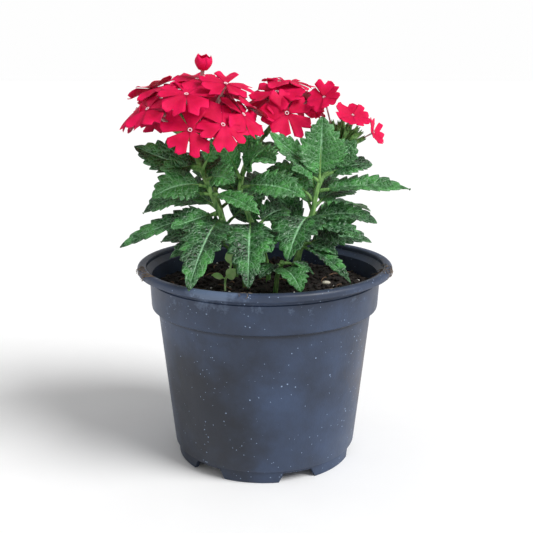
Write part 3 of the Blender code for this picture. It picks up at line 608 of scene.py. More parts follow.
def tube_block(line: np.ndarray, radii: np.ndarray, sides: int, shape: Section | None = None) -> tuple:
    """A closed tube along a line.

    Args:
        line: Array of n by 3 places.
        radii: Array of n radii.
        sides: Points round the tube.
        shape: Function of angle that scales the radius, or none for a circle.

    Returns:
        Points, quads and end caps as one array of quads and one of triangles.
    """
    ahead = np.roll(line, -1, 0)
    ahead[-1] = line[-1] * 2 - line[-2]
    behind = np.roll(line, 1, 0)
    behind[0] = line[0] * 2 - line[1]
    tangent = ahead - behind
    tangent /= np.linalg.norm(tangent, axis=1)[:, None]
    hint = np.array((0.0, -1.0, 0.0)) if abs(tangent[0][1]) < 0.8 else UP
    side = np.cross(tangent, hint)
    side /= np.linalg.norm(side, axis=1)[:, None]
    normal = np.cross(side, tangent)
    angles = np.arange(sides) * 2.0 * pi / sides
    scale = np.ones(sides) if shape is None else np.array([shape(a) for a in angles])
    ring = side[:, None, :] * (np.cos(angles) * scale)[None, :, None]
    ring = ring + normal[:, None, :] * (np.sin(angles) * scale)[None, :, None]
    points = (line[:, None, :] + ring * radii[:, None, None]).reshape(-1, 3)
    n = len(line)
    i, j = np.meshgrid(np.arange(n - 1), np.arange(sides), indexing="ij")
    a = (i * sides + j).ravel()
    b = (i * sides + (j + 1) % sides).ravel()
    walls = np.stack([a, b, b + sides, a + sides], 1)
    ends = np.array([line[0], line[-1]])
    base, far = n * sides, (n - 1) * sides
    k = np.arange(sides)
    m = (k + 1) % sides
    low = np.stack([np.full(sides, base), m, k], 1)
    high = np.stack([np.full(sides, base + 1), k + far, m + far], 1)
    return np.concatenate([points, ends]), walls, np.concatenate([low, high])


def take_tube(draft: Draft, line: np.ndarray | list, radii: np.ndarray | list, sides: int,
              shape: Section | None = None, marks: np.ndarray | None = None) -> None:
    """Add a closed tube to a draft.

    Args:
        draft: Where it goes.
        line: Array of n by 3 places.
        radii: Array of n radii.
        sides: Points round the tube.
        shape: Function of angle that scales the radius, or none.
        marks: Marks for every point, or none.
    """
    points, walls, caps = tube_block(np.asarray(line, float), np.asarray(radii, float), sides, shape)
    start = draft.count
    draft.take(points, walls, marks)
    draft.faces += (caps + start).tolist()


def smooth_path(points: np.ndarray, share: float) -> np.ndarray:
    """Point on a smooth curve through given points.

    Args:
        points: Array of n by 3 places.
        share: From 0 at the first to 1 at the last.

    Returns:
        The place on the curve.
    """
    spans = len(points) - 1
    place = min(share * spans, spans - 1e-9)
    i = int(place)
    t = place - i
    p0, p1 = points[max(i - 1, 0)], points[i]
    p2, p3 = points[i + 1], points[min(i + 2, spans)]
    return 0.5 * (2.0 * p1 + (p2 - p0) * t + (2.0 * p0 - 5.0 * p1 + 4.0 * p2 - p3) * t * t
                  + (3.0 * p1 - p0 - 3.0 * p2 + p3) * t ** 3)


def at_height(points: np.ndarray, height: float) -> np.ndarray:
    """Point of a rising path at a height.

    Args:
        points: The path's given points.
        height: Height in millimetres.

    Returns:
        The place on the curve.
    """
    low, high = 0.0, 1.0
    for _ in range(30):
        middle = (low + high) / 2.0
        if smooth_path(points, middle)[2] < height:
            low = middle
        else:
            high = middle
    return smooth_path(points, low)


def direction(azimuth: float, polar: float) -> np.ndarray:
    """Unit vector at an azimuth from +X and an angle from straight up, both in degrees."""
    a, p = radians(azimuth), radians(polar)
    return np.array((sin(p) * cos(a), sin(p) * sin(a), cos(p)))


def unit(vector: np.ndarray) -> np.ndarray:
    """A vector scaled to length one."""
    return vector / np.linalg.norm(vector)


def square_across(axis: np.ndarray) -> tuple:
    """Two unit vectors square to an axis and to each other."""
    first = np.array(Vector(axis).orthogonal().normalized())
    return first, np.cross(axis, first)


@dataclass
class Leaf:
    """One leaf: where it leaves the stem, its tip and its form, in millimetres."""

    rise: float
    tip: tuple
    width: float
    arch: float = 2.0
    teeth: int = 6
    face: tuple = (0.0, 0.0, 1.0)
    young: float = 0.0
    stalk: float = 5.0
    habit: Habit = Habit.TOOTHED
    thickness: float = 0.34
    fold: float = 0.26
    quilt: float = 0.85
    vein_slant: float = 1.3
    widest_skew: float = 0.72
    plumpness: float = 0.85
    least_reach: float = 0.16
    ripple: float = 0.035
    ripple_turns: float = 9.0
    ripple_shift: float = 3.0
    puff_round: float = 0.7
    puff_from_midrib: float = 6.0
    puff_from_tip: float = 1.6
    tooth_peak: float = 0.78
    tooth_depth: float = 0.26
    tooth_lean: float = 0.06
    tooth_round: float = 0.7
    tooth_steps: tuple = (0.0, 0.26, 0.52, 0.78, 0.89)
    last_step: float = 0.985
    smooth_steps: int = 15
    cross: tuple = (-1, -0.82, -0.62, -0.42, -0.24, -0.09, 0, 0.09, 0.24, 0.42, 0.62, 0.82, 1.0)
    longest_stalk: float = 0.35
    stalk_width: float = 0.30
    stalk_steps: int = 9
    stalk_sides: int = 7
    midrib_drop: float = 0.25

    def half_width(self, share: float) -> float:
        """Half width of the blade without its teeth, as a share of the widest half."""
        return sin(pi * share ** self.widest_skew) ** self.plumpness if 0.0 < share < 1.0 else 0.0

    def stations(self) -> np.ndarray:
        """Choose the places along the blade, five to a tooth.

        Returns:
            Shares of the blade's length, from 0 to 1.
        """
        if self.habit is Habit.SMOOTH:
            return np.linspace(0.0, 1.0, self.smooth_steps)
        marks = [(k + f) / self.teeth for k in range(self.teeth) for f in self.tooth_steps]
        return np.array(marks + [self.last_step, 1.0])

    def tooth(self, share: float) -> float:
        """Tell how far out the edge stands.

        Args:
            share: Share of the blade's length.

        Returns:
            1 on a tooth's point, 0 in a cut.
        """
        if self.habit is Habit.SMOOTH:
            return 1.0
        place = share * self.teeth % 1.0
        up, down = place / self.tooth_peak, (1.0 - place) / (1.0 - self.tooth_peak)
        return (up if place <= self.tooth_peak else down) ** self.tooth_round

    def midline(self, foot: np.ndarray, t: float) -> np.ndarray:
        """Find a point on the arched line from the stem to the tip.

        Args:
            foot: Where the leaf leaves the stem.
            t: Share of the line, from 0 to 1.

        Returns:
            The place.
        """
        tip = np.array(self.tip, float)
        middle = (foot + tip) / 2.0 + UP * 2.0 * self.arch
        return foot * (1 - t) ** 2 + middle * (2 * t * (1 - t)) + tip * t * t

    def grow(self, foot: np.ndarray, blades: Draft, stalks: Draft, side: float, rng: Rng) -> None:
        """Add the leaf's blade to one draft and its stalk to another.

        Args:
            foot: Where the leaf leaves the stem.
            blades: Gathers the blades.
            stalks: Gathers the stems and stalks.
            side: Width of the stem that carries it.
            rng: Seeded random numbers.
        """
        start = min(self.longest_stalk, self.stalk / np.linalg.norm(np.array(self.tip, float) - foot))
        shares = self.stations()
        facing = unit(np.array(self.face, float))
        sway = rng.uniform(-1.0, 1.0, 4)
        upper, lower, marks = [], [], []
        for share in shares:
            t = start + (1.0 - start) * share
            tangent = unit(self.midline(foot, min(t + 0.01, 1.0)) - self.midline(foot, t - 0.01))
            sideways = unit(np.cross(tangent, facing))
            normal = np.cross(sideways, tangent)
            blade = self.half_width(share)
            tooth = self.tooth(share)
            reach = self.width / 2.0 * blade * (1.0 - self.tooth_depth * (1.0 - tooth))
            reach = max(reach, self.least_reach)
            wave = self.ripple * self.width * sin(self.ripple_turns * share + self.ripple_shift * sway[0])
            for v in self.cross:
                edge = abs(v)
                phase = self.teeth * share + self.vein_slant * (1.0 - edge) - self.tooth_peak
                # The blade puffs up between the side veins and lies flat at the midrib and the rim.
                puff = self.quilt * abs(sin(pi * phase)) ** self.puff_round * (1.0 - edge ** 4)
                puff *= min(1.0, edge * self.puff_from_midrib) * min(1.0, blade * self.puff_from_tip)
                rise = reach * self.fold * edge + puff + wave * edge * edge * np.sign(v)
                forward = tangent * (self.tooth_lean * self.width * blade * tooth * edge ** 3)
                place = self.midline(foot, t) + sideways * (reach * v) + normal * rise + forward
                upper.append(place + normal * (self.thickness / 2.0))
                lower.append(place - normal * (self.thickness / 2.0))
                marks.append((phase, v, self.young))
        size = len(upper)
        under = np.concatenate([np.zeros(size), np.ones(size)])
        blades.take(np.array(upper + lower), sheet_faces(len(shares), len(self.cross)), np.array(marks * 2),
                    under)
        self.grow_stalk(foot, start, stalks, side)

    def grow_stalk(self, foot: np.ndarray, start: float, stalks: Draft, side: float) -> None:
        """Add the stalk, which runs on under the blade's first half as its midrib.

        Args:
            foot: Where the leaf leaves the stem.
            start: Share of the midline at which the blade starts.
            stalks: Gathers the stems and stalks.
            side: Width of the stem that carries it.
        """
        last = self.stalk_steps - 1
        steps = np.linspace(0.0, start + 0.5 * (1.0 - start), self.stalk_steps)
        line = [self.midline(foot, t) - UP * (self.midrib_drop if t > start else 0.0) for t in steps]
        radii = [side * self.stalk_width * (1.25 - 0.9 * k / last) for k in range(self.stalk_steps)]
        take_tube(stalks, line, radii, self.stalk_sides)


@dataclass
class Shoot:
    """One grown stem with its leaves, standing for one node of the model."""

    name: str
    path: tuple
    leaves: tuple
    side: float = 2.5
    seed: int = 1
    slot: str = "foliage"
    corner: float = 0.13
    groove: float = 0.03
    plumpness: float = 1.08
    taper: float = 0.25
    knee_reach: float = 1.4
    knee_swell: float = 0.16
    span_steps: int = 10
    sides: int = 20

    def section(self, angle: float) -> float:
        """Square section with soft corners and a shallow groove on each face."""
        return 1.0 + self.corner * cos(4.0 * (angle - pi / 4.0)) - self.groove * cos(8.0 * angle)

    def stem(self, path: np.ndarray, greens: Draft) -> None:
        """Add the tapered stem, a little thicker where leaves leave it.

        Args:
            path: The stem's given points.
            greens: Gathers the stems and stalks.
        """
        shares = np.linspace(0.0, 1.0, self.span_steps * (len(path) - 1) + 1)
        line = np.array([smooth_path(path, s) for s in shares])
        rises = {leaf.rise for leaf in self.leaves}
        radii = []
        for share, place in zip(shares, line):
            knee = sum(np.exp(-((place[2] - rise) / self.knee_reach) ** 2) for rise in rises)
            plain = self.side / 2.0 * self.plumpness * (1.0 - self.taper * share)
            radii.append(plain * (1.0 + self.knee_swell * min(knee, 1.0)))
        take_tube(greens, line, radii, self.sides, self.section)

    def grow(self, leaf_mat: bpy.types.Material, stem_mat: bpy.types.Material,
             extras: tuple = ()) -> None:
        """Build the stem, its leaves and whatever else is green on it.

        Args:
            leaf_mat: Material of the blades.
            stem_mat: Material of the stem and stalks.
            extras: Functions that each add calyces to the stem's draft.
        """
        rng = np.random.default_rng(self.seed)
        blades, greens = Draft(), Draft()
        path = np.array(self.path, float)
        self.stem(path, greens)
        for leaf in self.leaves:
            leaf.grow(at_height(path, leaf.rise), blades, greens, self.side, rng)
        for extra in extras:
            extra(greens)
        foliage = blades.build(self.name + "_leaves", leaf_mat, "leaf")
        dress(foliage, self.slot, self.name)
        dress(greens.build(self.name + "_stem", stem_mat), self.slot)
        LOG.info("%s: %d leaves, %d blade faces", self.name, len(self.leaves), len(foliage.data.polygons))


@dataclass
class Floret:
    """One open floret: eye, axis and petal form, in millimetres."""

    eye: np.ndarray
    axis: np.ndarray
    turn: float
    radius: float = 12.4
    cup: float = 0.15
    foot: np.ndarray | None = None
    fullness: float = 1.0
    sway: float = 0.07
    thickness: float = 0.22
    rows: int = 12
    cols: int = 11
    petal_count: int = 5
    claw: float = 0.07
    blade: float = 0.38
    widest: float = 0.82
    tip_taper: float = 0.11
    notch: float = 0.22
    crease: float = 0.060
    ruffle: float = 0.060
    turn_play: float = 6.0
    size_play: float = 0.07
    droop_play: tuple = (-0.14, 0.16)
    lean_play: float = 0.22
    jag_play: float = 0.05
    second_layer: float = 0.22
    third_layer: float = 0.08
    true_radius: float = 12.4
    ring_profile: tuple = ((1.15, 0.15), (0.95, 0.62), (0.76, 0.68), (0.55, 0.35), (0.45, -0.5))
    ring_sides: int = 12
    tube_sides: int = 8
    tube_steps: int = 8

    def spread(self, t: float) -> float:
        """Half width of a petal at a share of its length, as a share of the floret's radius."""
        wide = self.claw + self.blade * min(1.0, t / self.widest) ** 1.05
        return (wide - self.tip_taper * max(0.0, t - self.widest) / (1.0 - self.widest)) * self.fullness

    def grow(self, petals: Draft, tubes: Draft, rng: Rng) -> None:
        """Add the notched, slightly ruffled petals, the raised eye and the tube.

        Args:
            petals: Gathers the petals.
            tubes: Gathers the tubes and eyes.
            rng: Seeded random numbers.
        """
        self.axis = unit(self.axis + rng.normal(0.0, self.sway, 3))
        for number in range(self.petal_count):
            self.petal(number, petals, rng)
        self.throat(petals)
        if self.foot is not None:
            self.tube(tubes)

    def petal(self, number: int, petals: Draft, rng: Rng) -> None:
        """Add one petal with its own size, droop, lean and ragged notch.

        Args:
            number: Which petal, counted round the eye.
            petals: Gathers the petals.
            rng: Seeded random numbers.
        """
        first, second = square_across(self.axis)
        play = rng.uniform(-self.turn_play, self.turn_play)
        angle = radians(self.turn + number * 360.0 / self.petal_count + play)
        out = first * cos(angle) + second * sin(angle)
        over = np.cross(self.axis, out)
        size = self.radius * rng.uniform(1.0 - self.size_play, 1.0 + self.size_play)
        droop = self.cup + rng.uniform(*self.droop_play)
        lean = rng.uniform(-self.lean_play, self.lean_play)
        phase = rng.uniform(0.0, 2.0 * pi)
        jag = rng.uniform(-self.jag_play, self.jag_play, self.cols)
        # Petals pass over and under their neighbours, so each starts at a level of its own.
        layer = self.second_layer * (number % 2) + self.third_layer * (number % 3)
        upper, lower, marks = [], [], []
        for t in np.linspace(0.0, 1.0, self.rows):
            for col, v in enumerate(np.linspace(-1.0, 1.0, self.cols)):
                lobe = 1.0 - self.notch + self.notch * sin(pi * min(1.0, abs(v) * 0.86)) ** 0.9 + jag[col]
                along = size * (self.claw + t * (lobe - self.claw))
                side = size * self.spread(t) * v
                part = along / size
                fall = droop * size * part * part + lean * side
                rise = self.crease * size * abs(v) * part
                rise += self.ruffle * size * sin(3.2 * v + phase) * part * part
                place = self.eye + out * along + over * side + self.axis * (rise - fall + layer)
                upper.append(place + self.axis * (self.thickness / 2.0))
                lower.append(place - self.axis * (self.thickness / 2.0))
                marks.append((part, v + number * 3.0, self.turn))
        size_block = len(upper)
        under = np.concatenate([np.zeros(size_block), np.ones(size_block)])
        # The sheet's sides run the other way here, so its faces are turned over.
        faces = sheet_faces(self.rows, self.cols)[:, ::-1]
        petals.take(np.array(upper + lower), faces, np.array(marks * 2), under)

    def throat(self, petals: Draft) -> None:
        """Add the pale raised ring round the eye, which takes the petals' colours.

        Args:
            petals: Gathers the petals.
        """
        scale = self.radius / self.true_radius
        first, second = square_across(self.axis)
        rings, sides = len(self.ring_profile), self.ring_sides
        points, marks = [], []
        for radius, height in self.ring_profile:
            for k in range(sides):
                a = 2.0 * pi * k / sides
                points.append(self.eye + (first * cos(a) + second * sin(a)) * radius * scale
                              + self.axis * height * scale)
                marks.append((0.05 if 0.5 < radius < 1.0 else 0.2, 0.0, 0.0))
        points += [self.eye - self.axis * depth * scale for depth in (0.6, 0.15)]
        marks += [(0.2, 0.0, 0.0)] * 2
        start = petals.count
        petals.take(np.array(points), np.array(ring_faces(rings, sides)), np.array(marks))
        pit, low, last = start + rings * sides, start + rings * sides + 1, start + (rings - 1) * sides
        petals.faces += [[pit, last + k, last + (k + 1) % sides] for k in range(sides)]
        petals.faces += [[low, start + (k + 1) % sides, start + k] for k in range(sides)]

    def tube(self, tubes: Draft) -> None:
        """Add the slim bent tube from the calyx to the eye.

        Args:
            tubes: Gathers the tubes.
        """
        scale = self.radius / self.true_radius
        last = self.tube_steps - 1
        foot = np.array(self.foot, float)
        end = self.eye - self.axis * 0.2
        bend = (foot + end) / 2.0 + (self.axis - unit(end - foot)) * -1.5
        line = [foot * (1 - t) ** 2 + bend * 2 * t * (1 - t) + end * t * t
                for t in np.linspace(0, 1, self.tube_steps)]
        radii = [0.55 * scale + 0.12 * k / last for k in range(last)] + [1.15 * scale]
        marks = [(k / last, 0.0, 0.0) for k in range(self.tube_steps) for _ in range(self.tube_sides)]
        take_tube(tubes, line, radii, self.tube_sides, marks=np.array(marks + [(0, 0, 0), (1, 0, 0)]))


@dataclass
class HalfOpenBud:
    """A half-open bud: five petals that stand up round each other."""

    foot: np.ndarray
    axis: np.ndarray
    radius: float
    rows: int = 9
    cols: int = 7
    petal_count: int = 5
    half_turn: float = 0.75
    thickness: float = 0.24
    foot_width: float = 0.18
    belly: float = 0.62
    belly_start: float = 0.12
    belly_turn: float = 0.62
    height: float = 1.35
    rim_dip: float = 0.22
    layer: float = 0.018

    def grow(self, petals: Draft, rng: Rng) -> None:
        """Add the petals.

        Args:
            petals: Gathers the petals.
            rng: Seeded random numbers.
        """
        first, second = square_across(self.axis)
        for number in range(self.petal_count):
            angle = radians(number * 360.0 / self.petal_count + rng.uniform(-8.0, 8.0))
            out = first * cos(angle) + second * sin(angle)
            over = np.cross(self.axis, out)
            upper, lower, marks = [], [], []
            for t in np.linspace(0.0, 1.0, self.rows):
                swell = self.belly * sin(pi * (self.belly_start + self.belly_turn * t))
                bulge = self.radius * (self.foot_width + swell) + self.layer * number
                for v in np.linspace(-1.0, 1.0, self.cols):
                    spin = out * cos(v * self.half_turn) + over * sin(v * self.half_turn)
                    top = self.radius * (self.height - self.rim_dip * (1.0 - abs(v)) * t)
                    place = self.foot + spin * bulge + self.axis * (top * t)
                    upper.append(place + spin * (self.thickness / 2.0))
                    lower.append(place - spin * (self.thickness / 2.0))
                    marks.append((0.35 + 0.6 * t, v + 3.0 * number, 1.0))
            petals.take(np.array(upper + lower), sheet_faces(self.rows, self.cols), np.array(marks * 2))


@dataclass
class Calyx:
    """One ribbed calyx with five short points at its mouth."""

    foot: np.ndarray
    mouth: np.ndarray
    slim: float = 0.55
    wide: float = 1.2
    ribs: int = 5
    rib_height: float = 0.16
    sides: int = 15
    stations: tuple = (0.0, 0.12, 0.35, 0.6, 0.85, 1.0)
    point_length: float = 1.1

    def section(self, angle: float) -> float:
        """Round section with its ribs."""
        return 1.0 + self.rib_height * cos(self.ribs * angle)

    def grow(self, greens: Draft) -> None:
        """Add the calyx.

        Args:
            greens: Gathers the green parts.
        """
        way = unit(self.mouth - self.foot)
        length = np.linalg.norm(self.mouth - self.foot)
        gain = self.wide - self.slim
        radii = (self.slim, self.slim * 1.2, self.slim + gain * 0.45, self.slim + gain * 0.8, self.wide,
                 self.wide * 0.92)
        line = self.foot + way[None, :] * (np.array(self.stations) * length)[:, None]
        take_tube(greens, line, radii, self.sides, self.section)
        first, second = square_across(way)
        for k in range(self.ribs):
            a = 2.0 * pi * k / self.ribs
            side = first * cos(a) + second * sin(a)
            root = self.mouth + side * self.wide * 0.75 - way * 0.3
            tip = self.mouth + side * self.wide + way * self.point_length
            take_tube(greens, [root, tip], [0.28, 0.05], 4)


@dataclass
class DomedHead:
    """A crowded flower head: centre, radius at the eyes and each floret's angles."""

    name: str
    shoot: str
    centre: tuple
    radius: float
    lean: tuple
    florets: tuple
    foot_top: tuple
    seed: int = 3
    bud: bool = False
    lift: float = 2.2
    axis_rise: float = 0.45
    floret_radius: float = 12.4
    floret_turn: float = 47.0
    neighbour_reach: float = 1.7
    tube_length: float = 15.0
    lowest_tube: float = 78.0
    core_depth: float = 22.0
    core_radii: tuple = (1.4, 1.2, 0.7)
    core_sides: int = 10
    lowest_branch: float = 0.15
    branch_span: float = 0.75
    bud_angles: tuple = (-60.0, 14.0)
    bud_foot: float = 16.0
    bud_rise: float = 32.5
    bud_length: float = 4.7

    def levels(self) -> list:
        """Choose each floret's level: neighbours differ, so that petals pass over each other.

        Returns:
            A level of 0, 1 or 2 for each floret.
        """
        reach = self.floret_radius * self.neighbour_reach
        placed = []
        for azimuth, polar in self.florets:
            axis = direction(azimuth, polar)
            near = {level for other, level in placed if np.linalg.norm(axis - other) * self.radius < reach}
            placed.append((axis, min({0, 1, 2} - near, default=0)))
        return [level for _, level in placed]

    def tube_foot(self, azimuth: float, polar: float) -> np.ndarray:
        """Where a floret's tube leaves its calyx."""
        way = direction(azimuth, min(polar, self.lowest_tube))
        return np.array(self.centre, float) + way * (self.radius - self.tube_length)

    def calyces(self, greens: Draft) -> None:
        """Add a calyx under every floret, growing from the stem's top.

        Args:
            greens: Gathers the green parts of the shoot.
        """
        start = np.array(self.foot_top, float)
        lean = unit(np.array(self.lean, float))
        top = np.array(self.centre, float) + lean * max(self.radius - self.core_depth, 1.0)
        take_tube(greens, [start, (start + top) / 2.0, top], self.core_radii, self.core_sides)
        for azimuth, polar in self.florets:
            share = self.lowest_branch + self.branch_span * (1.0 - polar / 90.0)
            Calyx(start + (top - start) * share, self.tube_foot(azimuth, polar)).grow(greens)

    def bloom(self, petal_mat: bpy.types.Material, tube_mat: bpy.types.Material) -> None:
        """Build the florets and dress them.

        Args:
            petal_mat: Material of the petals.
            tube_mat: Material of the tubes.
        """
        rng = np.random.default_rng(self.seed)
        petals, tubes = Draft(), Draft()
        centre = np.array(self.centre, float)
        for i, ((azimuth, polar), level) in enumerate(zip(self.florets, self.levels())):
            way = direction(azimuth, polar)
            axis = unit(way + UP * self.axis_rise)
            eye = centre + way * (self.radius + (level - 1) * self.lift)
            foot = self.tube_foot(azimuth, polar)
            Floret(eye, axis, i * self.floret_turn, self.floret_radius, foot=foot).grow(petals, tubes, rng)
        if self.bud:
            way = direction(*self.bud_angles)
            foot, tip = centre + way * self.bud_foot, centre + way * (self.bud_rise + 0.2)
            take_tube(tubes, [foot, (foot + tip) / 2.0, tip], [0.55, 0.6, 0.9], 8)
            HalfOpenBud(centre + way * self.bud_rise, way, self.bud_length).grow(petals, rng)
        head = petals.build("florets_" + self.name, petal_mat, "petal")
        dress(head, "petal", "flowers_" + self.name)
        dress(tubes.build("tubes_" + self.name, tube_mat), "petal")
        LOG.info("head %s: %d florets, %d petal faces", self.name, len(self.florets),
                 len(head.data.polygons))


@dataclass
class OpeningHead:
    """The right head: long calyces, four florets just opening and closed calyces between them."""

    shoot: str = "stem_right"
    base: tuple = (34.0, 6.0, 144.0)
    calyx: float = 13.5
    blooms: tuple = (
        ((27, 1, 169), (-0.2, -0.7, 0.75), 8.0, -0.15),
        ((24.2, 6.5, 162), (-0.3, -0.7, 0.6), 4.2, -0.3),
        ((40, 0, 161), (0.2, -0.6, 0.8), 8.0, -0.1),
        ((50, 3, 153), (0.8, -0.4, 0.5), 6.5, -0.25),
    )
    spare: tuple = ((150, 22), (60, 30), (100, 50), (20, 45), (-20, 62), (0, 25), (-60, 38), (45, 62),
                    (-42, 52), (75, 12), (135, 45))
    # Each whorl turns the closed calyces, draws them together, tips them out and scales their length.
    whorls: tuple = ((0.0, 1.0, 0.0, 1.0), (25.0, 0.7, 8.0, 0.92), (-31.0, 0.8, 3.0, 1.06))
    fullness: float = 1.3
    bloom_turn: float = 29.0
    first_seed: int = 40

    def foot(self, eye: np.ndarray) -> np.ndarray:
        """Where a bloom's tube leaves its calyx."""
        start = np.array(self.base, float)
        return start + unit(eye - start) * self.calyx

    def calyces(self, greens: Draft) -> None:
        """Add the calyces of the blooms and the closed ones.

        Args:
            greens: Gathers the green parts of the shoot.
        """
        start = np.array(self.base, float)
        tips = [self.foot(np.array(eye, float)) for eye, _, _, _ in self.blooms]
        for turn, gather, tilt, length in self.whorls:
            tips += [start + direction(azimuth + turn, polar * gather + tilt) * self.calyx * length
                     for azimuth, polar in self.spare]
        for tip in tips:
            Calyx(start + unit(tip - start) * 1.2, tip, 0.5, 0.95).grow(greens)

    def bloom(self, petal_mat: bpy.types.Material, tube_mat: bpy.types.Material) -> None:
        """Build each bloom as a piece of its own.

        Args:
            petal_mat: Material of the petals.
            tube_mat: Material of the tubes.
        """
        for i, (eye, axis, radius, cup) in enumerate(self.blooms):
            rng = np.random.default_rng(self.first_seed + i)
            petals, tubes = Draft(), Draft()
            place = np.array(eye, float)
            Floret(place, unit(np.array(axis, float)), i * self.bloom_turn, radius, cup,
                   self.foot(place), self.fullness).grow(petals, tubes, rng)
            bloom = petals.build(f"opening_bloom_{i + 1}", petal_mat, "petal")
            tube = tubes.build(f"opening_tube_{i + 1}", tube_mat)
            dress(bloom, "petal", f"bloom_right_{i + 1}")
            dress(tube, "petal")
        LOG.info("opening head: %d blooms", len(self.blooms))


@dataclass
class NurseryPot:
    """The thin moulded pot, turned finely, with its notches and drains."""

    height: float = 93.0
    rim: float = 60.0
    rim_inner: float = 56.0
    roll_out: float = 2.0
    roll_up: float = 1.6
    lip_height: float = 3.3
    collar_top: float = 54.5
    collar_low: float = 53.4
    shoulder: float = 73.0
    body_top: float = 50.5
    body_base: float = 43.5
    foot: float = 41.8
    foot_height: float = 5.9
    foot_wall: float = 2.2
    wall: float = 1.2
    edge: float = 0.3
    floor_hub: float = 0.5
    segments: int = 144
    sharp_degrees: float = 38.0
    foot_openings: int = 6
    notch_first: float = -68.5
    notch_degrees: float = 27.0
    notch_slope: float = 4.0
    notch_height: float = 4.5
    notch_steps: int = 9
    drain_radius: float = 4.0
    drain_circle: float = 28.0
    drain_depth: float = 6.0
    cut_margin: float = 2.0
    dent_angle: float = 48.0
    dent_reach: float = 20.0
    dent_depth: float = 1.5
    sag: float = 0.25

    def body_radius(self, height: float) -> float:
        """Outer radius of the tapered body at a height."""
        share = (height - self.foot_height) / (self.shoulder - self.foot_height)
        return self.body_base + share * (self.body_top - self.body_base)

    def profile(self) -> list:
        """Draw the closed outline of the wall, from the foot up and back down.

        Returns:
            Points as radius and height.
        """
        edge, foot_top, shoulder, collar = self.edge, self.foot_height, self.shoulder, self.collar_top
        lip = self.height - self.lip_height
        floor = foot_top + self.wall
        roll = [(self.rim - self.roll_out + self.roll_out * cos(a),
                 self.height - self.roll_up + self.roll_up * sin(a)) for a in np.linspace(0.0, pi / 2.0, 7)]
        inner_roll = [(self.rim_inner + 0.9 - 0.9 * sin(a), self.height - 1.1 + 0.9 * cos(a))
                      for a in np.linspace(0.2, pi / 2.0, 5)]
        foot_ring = [
            (self.foot - edge, 0.0), (self.foot, edge), (self.foot, foot_top - edge),
            (self.foot + edge, foot_top), (self.body_base - edge, foot_top + 0.2),
        ]
        body = [
            (self.body_base, foot_top + 0.8), (self.body_radius(30.0), 30.0),
            (self.body_radius(55.0), 55.0), (self.body_radius(shoulder - 1.6), shoulder - 1.6),
            (self.body_radius(shoulder), shoulder - 0.5),
        ]
        outer_collar = [
            (self.collar_low - 1.0, shoulder - 0.2), (self.collar_low - 0.2, shoulder + 0.4),
            (self.collar_low, shoulder + 1.4), (collar - edge, lip - 3.4), (collar - 0.8, lip - 3.0),
            (collar - 0.8, lip - 2.4), (collar - 0.2, lip - 1.9), (collar, lip - 0.8),
            (collar + 0.8, lip + 0.3),
        ]
        rim = [
            (self.rim - 1.6, lip + 0.5), (self.rim - 1.1, lip + 0.05), (self.rim - edge, lip + 0.05),
            (self.rim, lip + 0.5), (self.rim, self.height - self.roll_up), *roll[1:], *inner_roll,
            (self.rim_inner, self.height - 2.4),
        ]
        inside = [
            (collar - self.wall, lip - 1.5), (self.collar_low - self.wall, shoulder + 1.8),
            (self.body_radius(shoulder) - self.wall, shoulder + 0.3),
            (self.body_radius(floor) - self.wall, floor), (self.floor_hub, floor),
            (self.floor_hub, foot_top), (self.foot - self.foot_wall, foot_top - 0.2),
            (self.foot - self.foot_wall, 0.0),
        ]
        return foot_ring + body + outer_collar + rim + inside

    def dent(self, angle: float, height: float) -> float:
        """Push the thin rim in a little at the back right.

        Args:
            angle: Angle round the pot's axis.
            height: Height above the ground.

        Returns:
            Change of the radius.
        """
        turn = (np.degrees(angle) - self.dent_angle + 180.0) % 360.0 - 180.0
        low = max(0.0, (height - self.shoulder) / (self.height - self.shoulder))
        pushed = -self.dent_depth * np.exp(-(turn / self.dent_reach) ** 2) * low
        return pushed + self.sag * sin(3.0 * angle + 0.7) * low - self.sag * low

    def over_rim(self, along: float) -> tuple:
        """Follow the rim's skin inward from its outer face.

        Args:
            along: Distance from the top of the outer face, below 0 on the face itself.

        Returns:
            Radius and height.
        """
        quarter = 2.6
        start = self.height - self.roll_up
        if along < 0.0:
            return self.rim, start + along
        if along < quarter:
            turn = along / quarter * pi / 2.0
            return self.rim - self.roll_out + self.roll_out * cos(turn), start + self.roll_up * sin(turn)
        inside = along - quarter
        return self.rim - self.roll_out - 0.9 * inside, self.height - 0.9 * max(0.0, inside - 1.4)

    def build(self, mat: bpy.types.Material) -> None:
        """Turn the outline, cut the notches and drains and dress the pot.

        Args:
            mat: The pot's plastic.
        """
        profile = self.profile()
        count = len(profile)
        points = []
        for step in range(self.segments):
            angle = 2.0 * pi * step / self.segments
            for radius, z in profile:
                points.append(round_place(radius + self.dent(angle, z), angle, z))
        faces = [[s * count + i, (s + 1) % self.segments * count + i,
                  (s + 1) % self.segments * count + (i + 1) % count, s * count + (i + 1) % count]
                 for s in range(self.segments) for i in range(count)]
        draft = Draft()
        draft.take(np.array(points), np.array(faces))
        pot = draft.build("nursery_pot", mat)
        numbers = range(self.foot_openings)
        self.cut(pot, [self.notch(i) for i in numbers] + [self.drain(i) for i in numbers])
        pot.data.polygons.foreach_set("use_smooth", [True] * len(pot.data.polygons))
        pot.data.set_sharp_from_angle(angle=radians(self.sharp_degrees))
        dress(pot, "pot_plastic", "pot")
        LOG.info("pot: %d faces", len(pot.data.polygons))

